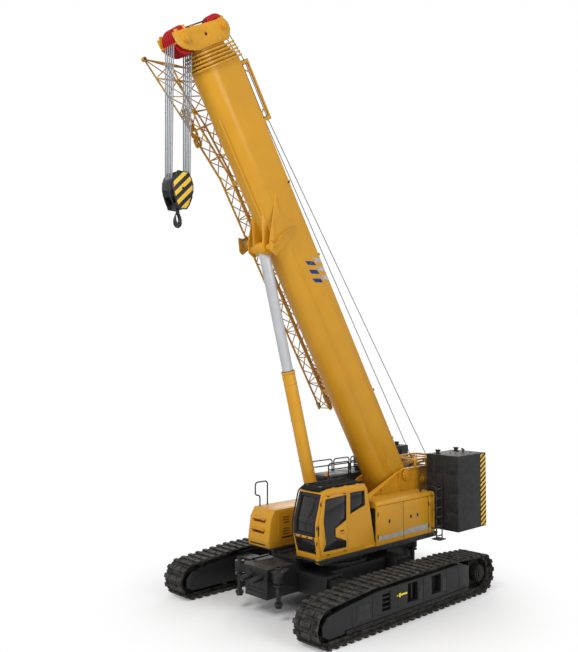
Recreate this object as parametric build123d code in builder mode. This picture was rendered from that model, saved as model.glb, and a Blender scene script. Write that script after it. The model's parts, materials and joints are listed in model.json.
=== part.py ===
from build123d import *
from math import atan2, cos, degrees, radians, sin
import os

os.makedirs("parts", exist_ok=True)

# A telescopic-boom crawler crane. Millimetres. +X is forward, +Y is the cab side, +Z is up,
# and the origin lies on the ground under the slewing axis.

# ---- Driving dimensions -----------------------------------------------------------------
running_gap = 0.3       # between faces that slide or turn on one another
face_gap = 5.0          # between pieces that pass one another in the open

# undercarriage
track_gauge = 5280.0    # between the middles of the two tracks
shoe_width = 830.0
shoe_pitch = 262.0
shoe_height = 62.0
shoe_slot = 38.0        # open gap between two shoes
shoe_seat = 16.0        # how deep a shoe sits in the chain
loop_depth = 150.0      # from the outer face of the shoes to the inside of the chain
frame_width = 660.0
fork_wall = 130.0       # each side of the idler's slot
beam_x = 1450.0         # where the two cross beams stand, fore and aft
beam_width = 480.0
beam_height = 420.0
beam_mid_z = 760.0
sleeve_wall = 60.0
sleeve_half = 1460.0    # half length of the sleeve that a beam slides in
beam_inner_y = 800.0    # inner end of a beam, with the tracks spread
carbody_top = 1120.0
front_box_end = 2900.0
front_box_half = 440.0
rear_box_half = 640.0
front_box_top = 1285.0
jack_x = 2810.0
jack_y = 776.0
jack_radius = 90.0
jack_foot_z = 370.0
jack_top_z = 1400.0

# wheels that the track runs round: x, z, radius to the outer face of the shoes
IDLER, SPROCKET, CARRIER_FRONT, CARRIER_REAR = range(4)
loop_wheels = [
    (3200.0, 520.0, 520.0),
    (-3170.0, 560.0, 560.0),
    (1500.0, 930.0, 260.0),
    (-1900.0, 950.0, 260.0),
]

# revolving superstructure
slew_radius = 930.0
slew_height = 120.0
deck_z = 1440.0         # underside of the outer deck
deck_thick = 60.0
deck_half = 1365.0
deck_front = 1900.0
deck_rear = -3300.0
channel_half = 470.0    # half width of the middle channel that the luffing cylinder lies in
cab_outer_y = 1360.0
cab_width = 880.0
cab_wall = 60.0
hood_top = 2720.0
hood_front = -430.0
hood_rear = -3180.0
hood_inner_y = 600.0
housing_front = 2000.0
housing_rear = -450.0
housing_top = 2540.0
housing_inner_y = 500.0
housing_outer_y = 1380.0
weight_front = -3330.0
weight_rear = -4860.0
weight_half = 2100.0
weight_inner = 950.0
weight_bottom = 1560.0
weight_top = 3830.0
plate_inner = 500.0     # inner faces of the boom support plates
plate_thick = 40.0
winch_radius = 300.0
winch_flange = 350.0

# boom, in its own directions: s runs along it from the foot pin, u stands up from its back
boom_angle = 58.8
foot_x = -2770.0
foot_z = 3200.0
foot_pin_radius = 90.0
boom_half = 420.0       # half width of the base section
boom_back = 205.0       # u of the back plate
boom_round = -620.0     # u of the centre of the rounded underside
boom_wall = 22.0
boom_tail = -250.0
boom_length = 13200.0   # from the foot pin to the front of the base section
section_count = 6
section_gap = 8.0       # between the walls of neighbouring sections
collar_length = 50.0
collar_pitch = 92.0
collar_height = 55.0
telescope_travel = 8900.0
head_sheave_s = 14050.0
head_front_u = -1140.0
head_rear_u = 190.0
sheave_radius = 355.0
rope_radius = 270.0     # pitch radius of a head sheave
rope_thick = 26.0
fall_pitch = 86.0       # between neighbouring falls at the head
block_pitch = 66.0      # between the same falls at the hook block
fall_count = 5

# luffing cylinder
eye_s = 8420.0
eye_u = -1250.0
barrel_foot_x = 410.0
barrel_foot_z = 1620.0
barrel_radius = 185.0
rod_radius = 150.0
eye_pin_radius = 80.0
barrel_nose = 3450.0    # from the rod's eye to the front of the barrel, as the crane stands

# hook block
block_centre_z = 10930.0
block_plate = 30.0
block_half_x = 325.0

# ---- Shared directions ------------------------------------------------------------------
boom_cos = cos(radians(boom_angle))
boom_sin = sin(radians(boom_angle))


def boom_point(s, u, y=0.0):
    """Place a point given along the boom, above it and to its left."""
    return (foot_x + s * boom_cos - u * boom_sin, y, foot_z + s * boom_sin + u * boom_cos)


def across_boom(s):
    """Plane square to the boom: its x is the crane's left, its y stands up from the back."""
    return Plane(origin=boom_point(s, 0), x_dir=(0, 1, 0), z_dir=(boom_cos, 0, boom_sin))


def beside_boom(y):
    """Plane along the boom's side: its x is s, its y is u, and it faces the crane's right."""
    return Plane(origin=boom_point(0, 0, y), x_dir=(boom_cos, 0, boom_sin), z_dir=(0, -1, 0))


def beside(y):
    """Upright lengthwise plane at y: its x is forward, its y is up, and it faces right."""
    return Plane(origin=(0, y, 0), x_dir=(1, 0, 0), z_dir=(0, -1, 0))


def plate(plane, outline, thickness, mode=Mode.ADD):
    """Add or cut a flat plate in the open part, from the plane towards the crane's left."""
    with BuildSketch(plane) as face:
        with BuildLine():
            Polyline(*outline, close=True)
        make_face()
    extrude(face.sketch, amount=-thickness, mode=mode)


def bar(start, end, width, depth=None, side=(0, 1, 0)):
    """Add a square-ended bar between two points to the open part."""
    run = Vector(*end) - Vector(*start)
    with BuildSketch(Plane(origin=start, x_dir=side, z_dir=run)) as face:
        Rectangle(width, depth or width)
    extrude(face.sketch, amount=run.length)


def rod(start, end, radius, mode=Mode.ADD):
    """Add or cut a round bar between two points in the open part."""
    run = Vector(*end) - Vector(*start)
    with BuildSketch(Plane(origin=start, z_dir=run)) as face:
        Circle(radius)
    extrude(face.sketch, amount=run.length, mode=mode)


def block(x_low, x_high, y_low, y_high, z_low, z_high, mode=Mode.ADD):
    """Add or cut a box between two corners in the open part."""
    with Locations(((x_low + x_high) / 2, (y_low + y_high) / 2, (z_low + z_high) / 2)):
        Box(x_high - x_low, y_high - y_low, z_high - z_low, mode=mode)


def axle(x, y, z, radius, width, mode=Mode.ADD):
    """Add or cut a cylinder that lies across the crane, centred on a point."""
    with Locations((x, y, z)):
        Cylinder(radius, width, rotation=(90, 0, 0), mode=mode)


def save(part, name):
    """Label a finished piece and write it to its own file."""
    part.label = name
    export_step(part, f"parts/{name}.step")


sides = (("left", 1), ("right", -1))
frame_half = frame_width / 2
roller_radius = 130.0
roller_width = 400.0
roller_slot = 440.0
roller_x = [-2240.0 + 480.0 * i for i in range(10)]
frame_floor = 300.0
hub_radius = 255.0
tooth_count = 20
tooth_height = 55.0
tooth_width = 60.0

# ---- Tracks -----------------------------------------------------------------------------
# Each track is one closed loop: an inner chain band with the shoes standing out of it.
for side, hand in sides:
    track_y = hand * track_gauge / 2
    with BuildPart() as track:
        with BuildSketch(Plane.XY, mode=Mode.PRIVATE) as shoe_line:
            for x, z, radius in loop_wheels:
                with Locations((x, z)):
                    Circle(radius - shoe_height / 2)
            make_hull()
        shoe_path = shoe_line.sketch.faces()[0].outer_wire()
        shoe_count = round(shoe_path.length / shoe_pitch)
        shoe_length = shoe_path.length / shoe_count - shoe_slot
        with BuildSketch(beside(track_y)):
            for x, z, radius in loop_wheels:
                with Locations((x, z)):
                    Circle(radius - shoe_height + shoe_seat)
            make_hull()
            for i in range(shoe_count):
                spot = shoe_path.position_at(i / shoe_count)
                ahead = shoe_path.tangent_at(i / shoe_count)
                lie = degrees(atan2(ahead.Y, ahead.X))
                with Locations(Location((spot.X, spot.Y, 0), (0, 0, lie))):
                    Rectangle(shoe_length, shoe_height)
        extrude(amount=shoe_width / 2, both=True)
        with BuildSketch(beside(track_y)):
            for x, z, radius in loop_wheels:
                with Locations((x, z)):
                    Circle(radius - loop_depth)
            make_hull()
        extrude(amount=shoe_width, both=True, mode=Mode.SUBTRACT)
        with BuildSketch(beside(track_y)):
            for x, z, radius in loop_wheels:
                with Locations((x, z)):
                    Circle(radius)
            make_hull()
        extrude(amount=shoe_width, both=True, mode=Mode.INTERSECT)
    save(track.part, f"track_{side}")

# ---- Track frames -----------------------------------------------------------------------
# A welded side frame carries the wheels of one track; its two beams slide in the carbody.
for side, hand in sides:
    mid_y = hand * track_gauge / 2
    idler_x, idler_z, idler_outer = loop_wheels[IDLER]
    sprocket_x, sprocket_z, sprocket_outer = loop_wheels[SPROCKET]
    frame_rear = sprocket_x + sprocket_outer + 70
    fork_front = idler_x + 260
    inner_y = mid_y - hand * frame_half
    with BuildPart() as track_frame:
        frame_outline = [
            (frame_rear, frame_floor),
            (frame_rear, 900),
            (-2100, 1010),
            (1500, 985),
            (2750, 850),
            (fork_front - 180, 760),
            (fork_front, idler_z + 60),
            (fork_front, idler_z - 160),
            (fork_front - 220, 240),
            (2400, frame_floor - 60),
            (-2300, frame_floor - 60),
        ]
        plate(beside(mid_y - frame_half), frame_outline, frame_width)
        block(-2450, 2720, mid_y - roller_slot / 2, mid_y + roller_slot / 2, 200, 430, Mode.SUBTRACT)
        block(idler_x - 420, fork_front + 10, mid_y - roller_slot / 2, mid_y + roller_slot / 2,
              150, 1100, Mode.SUBTRACT)
        for x, z, radius in (loop_wheels[CARRIER_FRONT], loop_wheels[CARRIER_REAR]):
            block(x - 150, x + 150, mid_y - 150, mid_y + 150, z - 160, 1100, Mode.SUBTRACT)
        # recesses in the outer web, open outwards: low x, high x, top z
        recess_y = mid_y + hand * (frame_half - 90)
        for low_x, high_x, top_z in ((980, 1300, 900), (-150, 290, 930), (-1190, -770, 930)):
            block(low_x, high_x, recess_y - 95, recess_y + 95, 450, top_z, Mode.SUBTRACT)
        # the plate that holds the final drive, inboard of the sprocket
        with BuildSketch(beside(mid_y - hand * (frame_half - 40))):
            with Locations((sprocket_x, sprocket_z)):
                Circle(hub_radius)
            with Locations(((sprocket_x + frame_rear) / 2, sprocket_z)):
                Rectangle(frame_rear - sprocket_x + 80, 2 * hub_radius)
        extrude(amount=40, both=True)
        axle(sprocket_x, mid_y - hand * (frame_half + 60), sprocket_z, 190, 120)
        # beams that run into the carbody's sleeves
        low_y, high_y = sorted((inner_y, hand * beam_inner_y))
        for x in (-beam_x, beam_x):
            block(x - beam_width / 2, x + beam_width / 2, low_y, high_y,
                  beam_mid_z - beam_height / 2, beam_mid_z + beam_height / 2)
    save(track_frame.part, f"track_frame_{side}")

    with BuildPart() as sprocket:
        root_radius = sprocket_outer - loop_depth - tooth_height
        with BuildSketch(beside(mid_y)):
            with Locations((sprocket_x, sprocket_z)):
                Circle(root_radius)
                with PolarLocations(root_radius, tooth_count):
                    Rectangle(2 * tooth_height, tooth_width)
                Circle(sprocket_outer - loop_depth - running_gap, mode=Mode.INTERSECT)
        extrude(amount=60, both=True)
        axle(sprocket_x, mid_y + hand * 30, sprocket_z, hub_radius - 15, 2 * (frame_half - 110))
        drive_low = -(frame_half - 80)
        axle(sprocket_x, mid_y + hand * (drive_low + 40), sprocket_z, hub_radius - 40, 80)
    save(sprocket.part, f"sprocket_{side}")

    with BuildPart() as idler:
        axle(idler_x, mid_y, idler_z, idler_outer - loop_depth - running_gap, 300)
        axle(idler_x, mid_y, idler_z, 110, roller_slot)
    save(idler.part, f"idler_{side}")

    with BuildPart() as rollers:
        for x in roller_x:
            axle(x, mid_y, loop_depth + roller_radius + running_gap, roller_radius, roller_width)
            axle(x, mid_y, loop_depth + roller_radius + running_gap, 50, roller_slot)
        for x, z, radius in (loop_wheels[CARRIER_FRONT], loop_wheels[CARRIER_REAR]):
            axle(x, mid_y, z, radius - loop_depth - running_gap, 240)
            axle(x, mid_y, z, 45, 300)
    save(rollers.part, f"rollers_{side}")

# ---- Carbody ----------------------------------------------------------------------------
sleeve_x = beam_width / 2 + running_gap + sleeve_wall
sleeve_z = beam_height / 2 + running_gap + sleeve_wall
arm_low, arm_high = 1040.0, 1240.0
bore_x = beam_width / 2 + running_gap
bore_z = beam_height / 2 + running_gap
with BuildPart() as carbody:
    for x in (-beam_x, beam_x):
        block(x - sleeve_x, x + sleeve_x, -sleeve_half, sleeve_half,
              beam_mid_z - sleeve_z, beam_mid_z + sleeve_z)
    block(-beam_x, beam_x, -1050, 1050, beam_mid_z - sleeve_z, beam_mid_z + sleeve_z)
    with Locations((0, 0, (carbody_top + beam_mid_z) / 2)):
        Cylinder(slew_radius + 90, carbody_top - beam_mid_z)
    for end, box_half in ((-1, rear_box_half), (1, front_box_half)):
        low, high = sorted((end * (beam_x + sleeve_x - 20), end * front_box_end))
        block(low, high, -box_half, box_half, 500, front_box_top)
    for x in (-beam_x, beam_x):
        block(x - bore_x, x + bore_x, -sleeve_half - 10, sleeve_half + 10,
              beam_mid_z - bore_z, beam_mid_z + bore_z, Mode.SUBTRACT)
    for end in (-1, 1):
        for hand in (-1, 1):
            arm_outline = [
                (end * 2250, hand * 400),
                (end * 2780, hand * 400),
                (end * (jack_x + 90), hand * (jack_y - 60)),
                (end * (jack_x - 60), hand * (jack_y + 90)),
                (end * 2250, hand * 600),
            ]
            with BuildSketch(Plane.XY.offset(arm_low)):
                with BuildLine():
                    Polyline(*arm_outline, close=True)
                make_face()
            extrude(amount=arm_high - arm_low)
            with Locations((end * jack_x, hand * jack_y, (arm_low + arm_high) / 2)):
                Cylinder(jack_radius + 45, arm_high - arm_low + 60)
                Cylinder(jack_radius + running_gap, 400, mode=Mode.SUBTRACT)
        for y in (-200, 200):
            rod((end * (front_box_end - 10), y, 1040), (end * (front_box_end + 330), y, 1000), 75)
save(carbody.part, "carbody")

with BuildPart() as jacks:
    for end in (-1, 1):
        for hand in (-1, 1):
            with Locations((end * jack_x, hand * jack_y, (jack_top_z + jack_foot_z) / 2)):
                Cylinder(jack_radius, jack_top_z - jack_foot_z)
            with Locations((end * jack_x, hand * jack_y, jack_foot_z + 60)):
                Cylinder(150, 120)
save(jacks.part, "jack_cylinders")

with BuildPart() as slew_ring:
    with Locations((0, 0, carbody_top + slew_height / 2)):
        Cylinder(slew_radius, slew_height)
        Cylinder(slew_radius - 160, slew_height, mode=Mode.SUBTRACT)
save(slew_ring.part, "slew_ring")

# ---- Revolving frame --------------------------------------------------------------------
ring_top = carbody_top + slew_height
channel_floor = 1300.0
channel_top = 1390.0
channel_rear = -2600.0
cheek_gap = 160.0
cheek_thick = 45.0
with BuildPart() as turntable:
    with Locations((0, 0, (ring_top + running_gap + channel_floor) / 2)):
        Cylinder(slew_radius + 40, channel_floor - ring_top - running_gap)
    block(channel_rear, deck_front, -channel_half, channel_half, channel_floor, channel_top)
    for hand in (-1, 1):
        inner, outer = sorted((hand * channel_half, hand * deck_half))
        block(deck_rear, deck_front, inner, outer, deck_z, deck_z + deck_thick)
        inner, outer = sorted((hand * (channel_half - 60), hand * (channel_half + 30)))
        block(channel_rear, deck_front, inner, outer, channel_floor, deck_z + deck_thick)
        # cheeks that hold the foot of the luffing cylinder
        inner = hand * cheek_gap
        foot_outline = [
            (barrel_foot_x - 420, channel_top - 10),
            (barrel_foot_x - 150, barrel_foot_z + 120),
            (barrel_foot_x - 60, barrel_foot_z + 180),
            (barrel_foot_x + 60, barrel_foot_z + 180),
            (barrel_foot_x + 150, barrel_foot_z + 120),
            (barrel_foot_x + 420, channel_top - 10),
        ]
        plate(beside(min(inner, inner + hand * cheek_thick)), foot_outline, cheek_thick)
        axle(barrel_foot_x, hand * (cheek_gap + cheek_thick + 20), barrel_foot_z, 120, 50)
    # tail beams under the counterweight
    block(weight_rear + 200, deck_rear + 10, -760, 760, deck_z, weight_bottom)
    block(deck_rear, channel_rear + 60, -channel_half - 30, channel_half + 30, deck_z, deck_z + deck_thick)
save(turntable.part, "turntable")

deck_top = deck_z + deck_thick
plate_rear = weight_rear + 60
plate_low = weight_bottom + 340
plate_top = 3385.0
arch_outline = [
    (-470, deck_top),
    (-560, 2480),
    (-1050, 2790),
    (-2330, 3290),
    (-2640, plate_top),
    (plate_rear, plate_top),
    (plate_rear, plate_low),
    (-3250, plate_low),
    (-3250, deck_top),
]
with BuildPart() as boom_support:
    for hand in (-1, 1):
        low = plate_inner if hand > 0 else -plate_inner - plate_thick
        plate(beside(low), arch_outline, plate_thick)
        flange = hand * (plate_inner + plate_thick + 30)
        for start, end in (((-560, 2480), (-2330, 3280)), ((-2330, 3280), (-2640, 3375))):
            bar((start[0], flange, start[1]), (end[0], flange, end[1]), 60, 30)
        block(plate_rear, -2640, flange - 30, flange + 30, plate_top - 30, plate_top)
        axle(foot_x, hand * (plate_inner + plate_thick + 25), foot_z, 165, 50)
    axle(foot_x, 0, foot_z, foot_pin_radius, 2 * plate_inner + 20)
    for x, z in ((-650, 1620), (-3140, 1620)):
        block(x - 40, x + 40, -plate_inner, plate_inner, z - 60, z + 60)
save(boom_support.part, "boom_support")

# ---- Winches ----------------------------------------------------------------------------
winches = (("main_winch_drum", -3720.0), ("auxiliary_winch_drum", -4480.0))
winch_z = 2950.0
for name, x in winches:
    with BuildPart() as drum:
        axle(x, 0, winch_z, winch_radius, 2 * plate_inner - 120)
        for y in (-plate_inner + 50, plate_inner - 50):
            axle(x, y, winch_z, winch_flange, 40)
        axle(x, 0, winch_z, 90, 2 * (plate_inner - running_gap))
    save(drum.part, name)

guard_y = plate_inner + plate_thick / 2
guard_bar = 60.0
guard_top = plate_top + 205
with BuildPart() as winch_guard:
    for y in (-guard_y, guard_y):
        for x in (-3300, -3900, -4700):
            bar((x, y, plate_top), (x, y, guard_top - guard_bar / 2), guard_bar)
        for z in (guard_top - 90, guard_top):
            bar((-3300 + guard_bar / 2, y, z), (-4700 - guard_bar / 2, y, z), guard_bar)
    for x in (-3300, -4700):
        bar((x, -guard_y - 20, guard_top), (x, guard_y + 20, guard_top), guard_bar, side=(1, 0, 0))
save(winch_guard.part, "winch_guard")

# ---- Counterweight ----------------------------------------------------------------------
with BuildPart() as counterweight:
    for hand in (-1, 1):
        inner, outer = sorted((hand * weight_inner, hand * weight_half))
        block(weight_rear, weight_front, inner, outer, weight_bottom, weight_top)
        for x in (weight_front - 250, weight_rear + 300):
            with Locations((x, hand * (weight_inner + 250), weight_top + 60)):
                Cylinder(70, 120)
    block(weight_rear, weight_front - 300, -weight_inner - 10, weight_inner + 10,
          weight_bottom, weight_bottom + 330)
save(counterweight.part, "counterweight")

# ---- Machinery hoods --------------------------------------------------------------------
hood_wall = 30.0
hood_bottom = deck_top
hood_outer_y = 1350.0
with BuildPart() as left_hood:
    with BuildSketch(Plane.YZ.offset(hood_rear)):
        with Locations(((hood_inner_y + hood_outer_y) / 2, (hood_bottom + hood_top) / 2)):
            Rectangle(hood_outer_y - hood_inner_y, hood_top - hood_bottom)
    extrude(amount=hood_front - hood_rear)
    fillet(left_hood.edges().filter_by(Axis.X).group_by(Axis.Z)[-1], 90)
    block(hood_rear + hood_wall, hood_front - hood_wall,
          hood_inner_y + hood_wall, hood_outer_y - hood_wall,
          hood_bottom - 10, hood_top - hood_wall - 60, Mode.SUBTRACT)
save(left_hood.part, "left_hood")

housing_outline = [
    (housing_rear, deck_top),
    (housing_front - 30, deck_top),
    (housing_front, 1700),
    (housing_front - 90, 2300),
    (housing_front - 240, housing_top),
    (housing_rear, housing_top),
]
with BuildPart() as housing:
    plate(beside(-housing_outer_y), housing_outline, housing_outer_y - housing_inner_y)
    block(housing_rear + hood_wall, housing_front - 280,
          -housing_outer_y + hood_wall, -housing_inner_y - hood_wall,
          deck_top - 10, housing_top - hood_wall, Mode.SUBTRACT)
    # two stepping ledges in the sloped front
    for z in (2010, 2300):
        block(housing_front - 190, housing_front + 10, -housing_outer_y + 180, -housing_inner_y - 240,
              z - 130, z, Mode.SUBTRACT)
save(housing.part, "right_housing")

engine_rear = -3200.0
engine_top = 3240.0
with BuildPart() as engine_housing:
    block(engine_rear, housing_rear - 10, -housing_outer_y, -hood_inner_y, deck_top, engine_top)
    block(engine_rear + hood_wall, housing_rear - 10 - hood_wall, -housing_outer_y + hood_wall,
          -hood_inner_y - hood_wall, deck_top - 10, engine_top - hood_wall, Mode.SUBTRACT)
save(engine_housing.part, "engine_housing")

with BuildPart() as engine:
    block(-2700, -1200, -1250, -720, deck_top, 2500)
save(engine.part, "engine_block")

rail = 18.0
rail_front, rail_rear = -560.0, -3100.0
rail_top = engine_top + 380
hoop_y = -housing_outer_y + 35
hoop_front, hoop_rear = 1700.0, 1250.0
hoop_top = housing_top + 690
with BuildPart() as handrails:
    for y in (-housing_outer_y + 40, -hood_inner_y - 40):
        for x in (rail_front, -1500, -2300, rail_rear):
            rod((x, y, engine_top), (x, y, rail_top), rail)
        rod((rail_front + rail, y, rail_top), (rail_rear - rail, y, rail_top), rail)
        rod((rail_front, y, engine_top + 190), (rail_rear, y, engine_top + 190), rail)
    for x in (hoop_front, hoop_rear):
        rod((x, hoop_y, housing_top), (x, hoop_y, hoop_top), rail)
    rod((hoop_rear - rail, hoop_y, hoop_top), (hoop_front + rail, hoop_y, hoop_top), rail)
save(handrails.part, "handrails")

ladder_y = hood_outer_y + 200
ladder_x = (-3270.0, -2980.0)
rung_low, rung_pitch, rung_count = 1420.0, 280.0, 6
with BuildPart() as ladder:
    for x in ladder_x:
        rod((x, ladder_y, 1320), (x, ladder_y, 2900), 20)
    for step in range(rung_count):
        z = rung_low + rung_pitch * step
        rod((ladder_x[0], ladder_y, z), (ladder_x[1], ladder_y, z), 16)
    for z in (1650, 2600):
        rod((ladder_x[1], hood_outer_y, z), (ladder_x[1], ladder_y, z), 14)
        rod((ladder_x[0], ladder_y, z), (ladder_x[1], ladder_y, z), 14)
    block(ladder_x[0] - 20, ladder_x[1] + 20, hood_outer_y + 30, hood_outer_y + 330, 1300, 1330)
save(ladder.part, "access_ladder")

# ---- Cab --------------------------------------------------------------------------------
cab_inner_y = cab_outer_y - cab_width
cab_floor = deck_top
cab_outline = [
    (-400, cab_floor),
    (1860, cab_floor),
    (1995, 2060),
    (1990, 2480),
    (1760, 3230),
    (1600, 3300),
    (60, 3300),
    (-60, 3150),
]
door_front, door_rear = 1700.0, 800.0
door_low, door_high = 1600.0, 3150.0
door_outline = [
    (door_rear, door_low),
    (1800, door_low),
    (1905, 2060),
    (1900, 2480),
    (1710, door_high),
    (door_rear, door_high),
]
# the door's pane, with a notch for its handle
pane_outline = [
    (860, 1700),
    (1760, 1720),
    (1640, 1910),
    (1730, 2500),
    (1660, 3060),
    (860, 3090),
    (860, 2430),
    (1290, 2260),
    (1290, 2030),
    (860, 1870),
]
door_thick = 35.0
door_gap = 6.0
door_travel = 720.0
cab_face = cab_outer_y - door_thick - door_gap
room_outline = [
    (-320, cab_floor + 60),
    (1800, cab_floor + 60),
    (1935, 2070),
    (1930, 2470),
    (1710, 3180),
    (1580, 3240),
    (80, 3240),
    (0, 3130),
]
doorway_outline = [
    (door_rear + 40, 1640),
    (1740, 1640),
    (1840, 2070),
    (1830, 2460),
    (1650, 3110),
    (door_rear + 40, 3110),
]
side_window = [(40, 2720), (640, 2560), (640, 3110), (70, 3110)]
with BuildPart() as cab:
    plate(beside(cab_inner_y), cab_outline, cab_width - door_thick - door_gap)
    room_width = cab_face - cab_inner_y - 2 * cab_wall
    plate(beside(cab_inner_y + cab_wall), room_outline, room_width, Mode.SUBTRACT)
    # windscreen, lower screen and rear window
    block(1700, 2100, cab_inner_y + 80, cab_face - 80, 2150, 3120, Mode.SUBTRACT)
    block(1780, 2100, cab_inner_y + 80, cab_face - 80, 1660, 2040, Mode.SUBTRACT)
    block(-500, 100, cab_inner_y + 120, cab_face - 120, 2300, 3080, Mode.SUBTRACT)
    # doorway, the window behind it and the window beside the boom
    for outline in (doorway_outline, side_window):
        plate(beside(cab_face - cab_wall - 10), outline, 200, Mode.SUBTRACT)
    block(150, 1500, cab_inner_y - 10, cab_inner_y + cab_wall + 10, 2250, 3080, Mode.SUBTRACT)
    # rails that the door runs on
    for z in (1615, 3125):
        block(door_rear - door_travel + 10, door_front - 10,
              cab_face - 5, cab_outer_y - door_thick - running_gap, z - 12, z + 12)
save(cab.part, "cab_shell")

glass = 8.0
with BuildPart() as cab_glass:
    wide = cab_face - cab_inner_y - 160
    plate(beside(cab_inner_y + 80),
          [(1959, 2150), (1956, 2476), (1760, 3120), (1768, 3120), (1964, 2478), (1967, 2150)], wide)
    plate(beside(cab_inner_y + 80), [(1859, 1660), (1955, 2040), (1963, 2040), (1867, 1660)], wide)
    plate(beside(cab_inner_y + 120), [(-206, 2300), (-46, 3080), (-38, 3080), (-198, 2300)], wide - 80)
    plate(beside(cab_face - 34), side_window, glass)
    plate(beside(cab_inner_y + 26), [(150, 2250), (1500, 2250), (1500, 3080), (150, 3080)], glass)
save(cab_glass.part, "cab_glass")

with BuildPart() as cab_door:
    plate(beside(cab_outer_y - door_thick), door_outline, door_thick)
    plate(beside(cab_outer_y - door_thick - 10), pane_outline, 100, Mode.SUBTRACT)
save(cab_door.part, "cab_door")

with BuildPart() as door_glass:
    plate(beside(cab_outer_y - door_thick / 2 - glass / 2), pane_outline, glass)
save(door_glass.part, "door_glass")

with BuildPart() as roof_guard:
    for y in (cab_inner_y + 60, cab_face - 60):
        bar((60, y, 3340), (1640, y, 3340), 60, 80)
    for i in range(7):
        x = 120 + i * 240
        bar((x, cab_inner_y + 60, 3350), (x, cab_face - 60, 3350), 40, side=(1, 0, 0))
save(roof_guard.part, "roof_guard")

seat_y = (cab_inner_y + cab_face) / 2
with BuildPart() as seat:
    block(650, 1000, seat_y - 180, seat_y + 180, cab_floor + 60, cab_floor + 330)
    block(560, 1080, seat_y - 250, seat_y + 250, cab_floor + 330, cab_floor + 470)
    bar((600, seat_y, cab_floor + 440), (430, seat_y, cab_floor + 1150), 460, 130)
save(seat.part, "operator_seat")

with BuildPart() as console:
    block(1480, 1640, seat_y - 250, seat_y + 250, cab_floor + 60, cab_floor + 620)
    for y in (seat_y - 300, seat_y + 300):
        block(640, 1080, y - 40, y + 40, cab_floor + 60, cab_floor + 640)
save(console.part, "control_console")

# ---- Boom -------------------------------------------------------------------------------
# Six nested box sections with flat sides and a rounded underside. Each runs in the collar of
# the section round it and rides on a ring at its own tail.
section_step = boom_wall + section_gap
tail_ring = 120.0
tail_plate = 30.0
collar_step = 20.0


def section_face(plane, inset):
    """Sketch a boom cross-section on a plane, drawn in from the outside of the base section."""
    half = boom_half - inset
    back = boom_back - inset
    with BuildSketch(plane) as face:
        with BuildLine():
            Line((-half, back), (half, back))
            Line((half, back), (half, boom_round))
            ThreePointArc((half, boom_round), (0, boom_round - half), (-half, boom_round))
            Line((-half, boom_round), (-half, back))
        make_face()
    return face.sketch


def section_tail(index):
    """How far along the boom one section's tail stands."""
    return boom_tail if index == 0 else 450.0 + 150.0 * index


def section_tube(index, front):
    """Add one section, still solid: its length, its tail ring and, on all but the last, its collar."""
    inset = index * section_step
    tail = section_tail(index)
    extrude(section_face(across_boom(tail), inset), amount=front - tail)
    if index:
        extrude(section_face(across_boom(tail), inset - section_gap + running_gap), amount=tail_ring)
    if index < section_count - 1:
        extrude(section_face(across_boom(front), index * collar_step - collar_height), amount=collar_length)


def section_bore(index, front):
    """Cut the hollow of one section and the mouth of its collar."""
    start = section_tail(index) + tail_plate
    hollow = section_face(across_boom(start), index * section_step + boom_wall)
    extrude(hollow, amount=front - start, mode=Mode.SUBTRACT)
    if index < section_count - 1:
        mouth = section_face(across_boom(front), (index + 1) * section_step - running_gap)
        extrude(mouth, amount=collar_length, mode=Mode.SUBTRACT)


foot_boss = 150.0
eye_half = 165.0
eye_x, _, eye_z = boom_point(eye_s, eye_u)
wing_thick = 34.0
underside = boom_round - boom_half + 60
eye_outline = [
    (eye_s - 230, underside),
    (eye_s - 190, eye_u),
    (eye_s - 120, eye_u - 150),
    (eye_s, eye_u - 190),
    (eye_s + 150, eye_u - 130),
    (eye_s + 900, underside),
]
wing_outline = [
    (eye_s - 230, eye_u - 60),
    (eye_s, eye_u - 170),
    (eye_s + 220, eye_u - 60),
    (eye_s + 1180, -480),
    (eye_s + 700, -620),
    (eye_s + 140, -170),
    (eye_s - 60, -620),
]
with BuildPart() as boom_base:
    section_tube(0, boom_length)
    for hand in (-1, 1):
        boss_inner = boom_half - boom_wall
        boss_outer = plate_inner - face_gap
        axle(foot_x, hand * (boss_inner + boss_outer) / 2, foot_z, foot_boss, boss_outer - boss_inner)
        # cheek beside the cylinder's eye
        cheek = hand * (eye_half + face_gap)
        plate(beside_boom(min(cheek, cheek + hand * cheek_thick)), eye_outline, cheek_thick)
        # wing that spreads the cylinder's load up the boom's side
        wing = hand * (boom_half - 2)
        plate(beside_boom(min(wing, wing + hand * wing_thick)), wing_outline, wing_thick)
        axle(eye_x, hand * (eye_half + boom_half) / 2 + hand * 60, eye_z, 110, boom_half - eye_half)
    section_bore(0, boom_length)
    axle(foot_x, 0, foot_z, foot_pin_radius + running_gap, 2 * plate_inner, Mode.SUBTRACT)
    axle(eye_x, 0, eye_z, eye_pin_radius, 2 * (boom_half + 60))
save(boom_base.part, "boom_base")

for index in range(1, section_count - 1):
    with BuildPart() as section:
        section_tube(index, boom_length + index * collar_pitch)
        section_bore(index, boom_length + index * collar_pitch)
    save(section.part, f"boom_section_{index + 1}")

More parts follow.
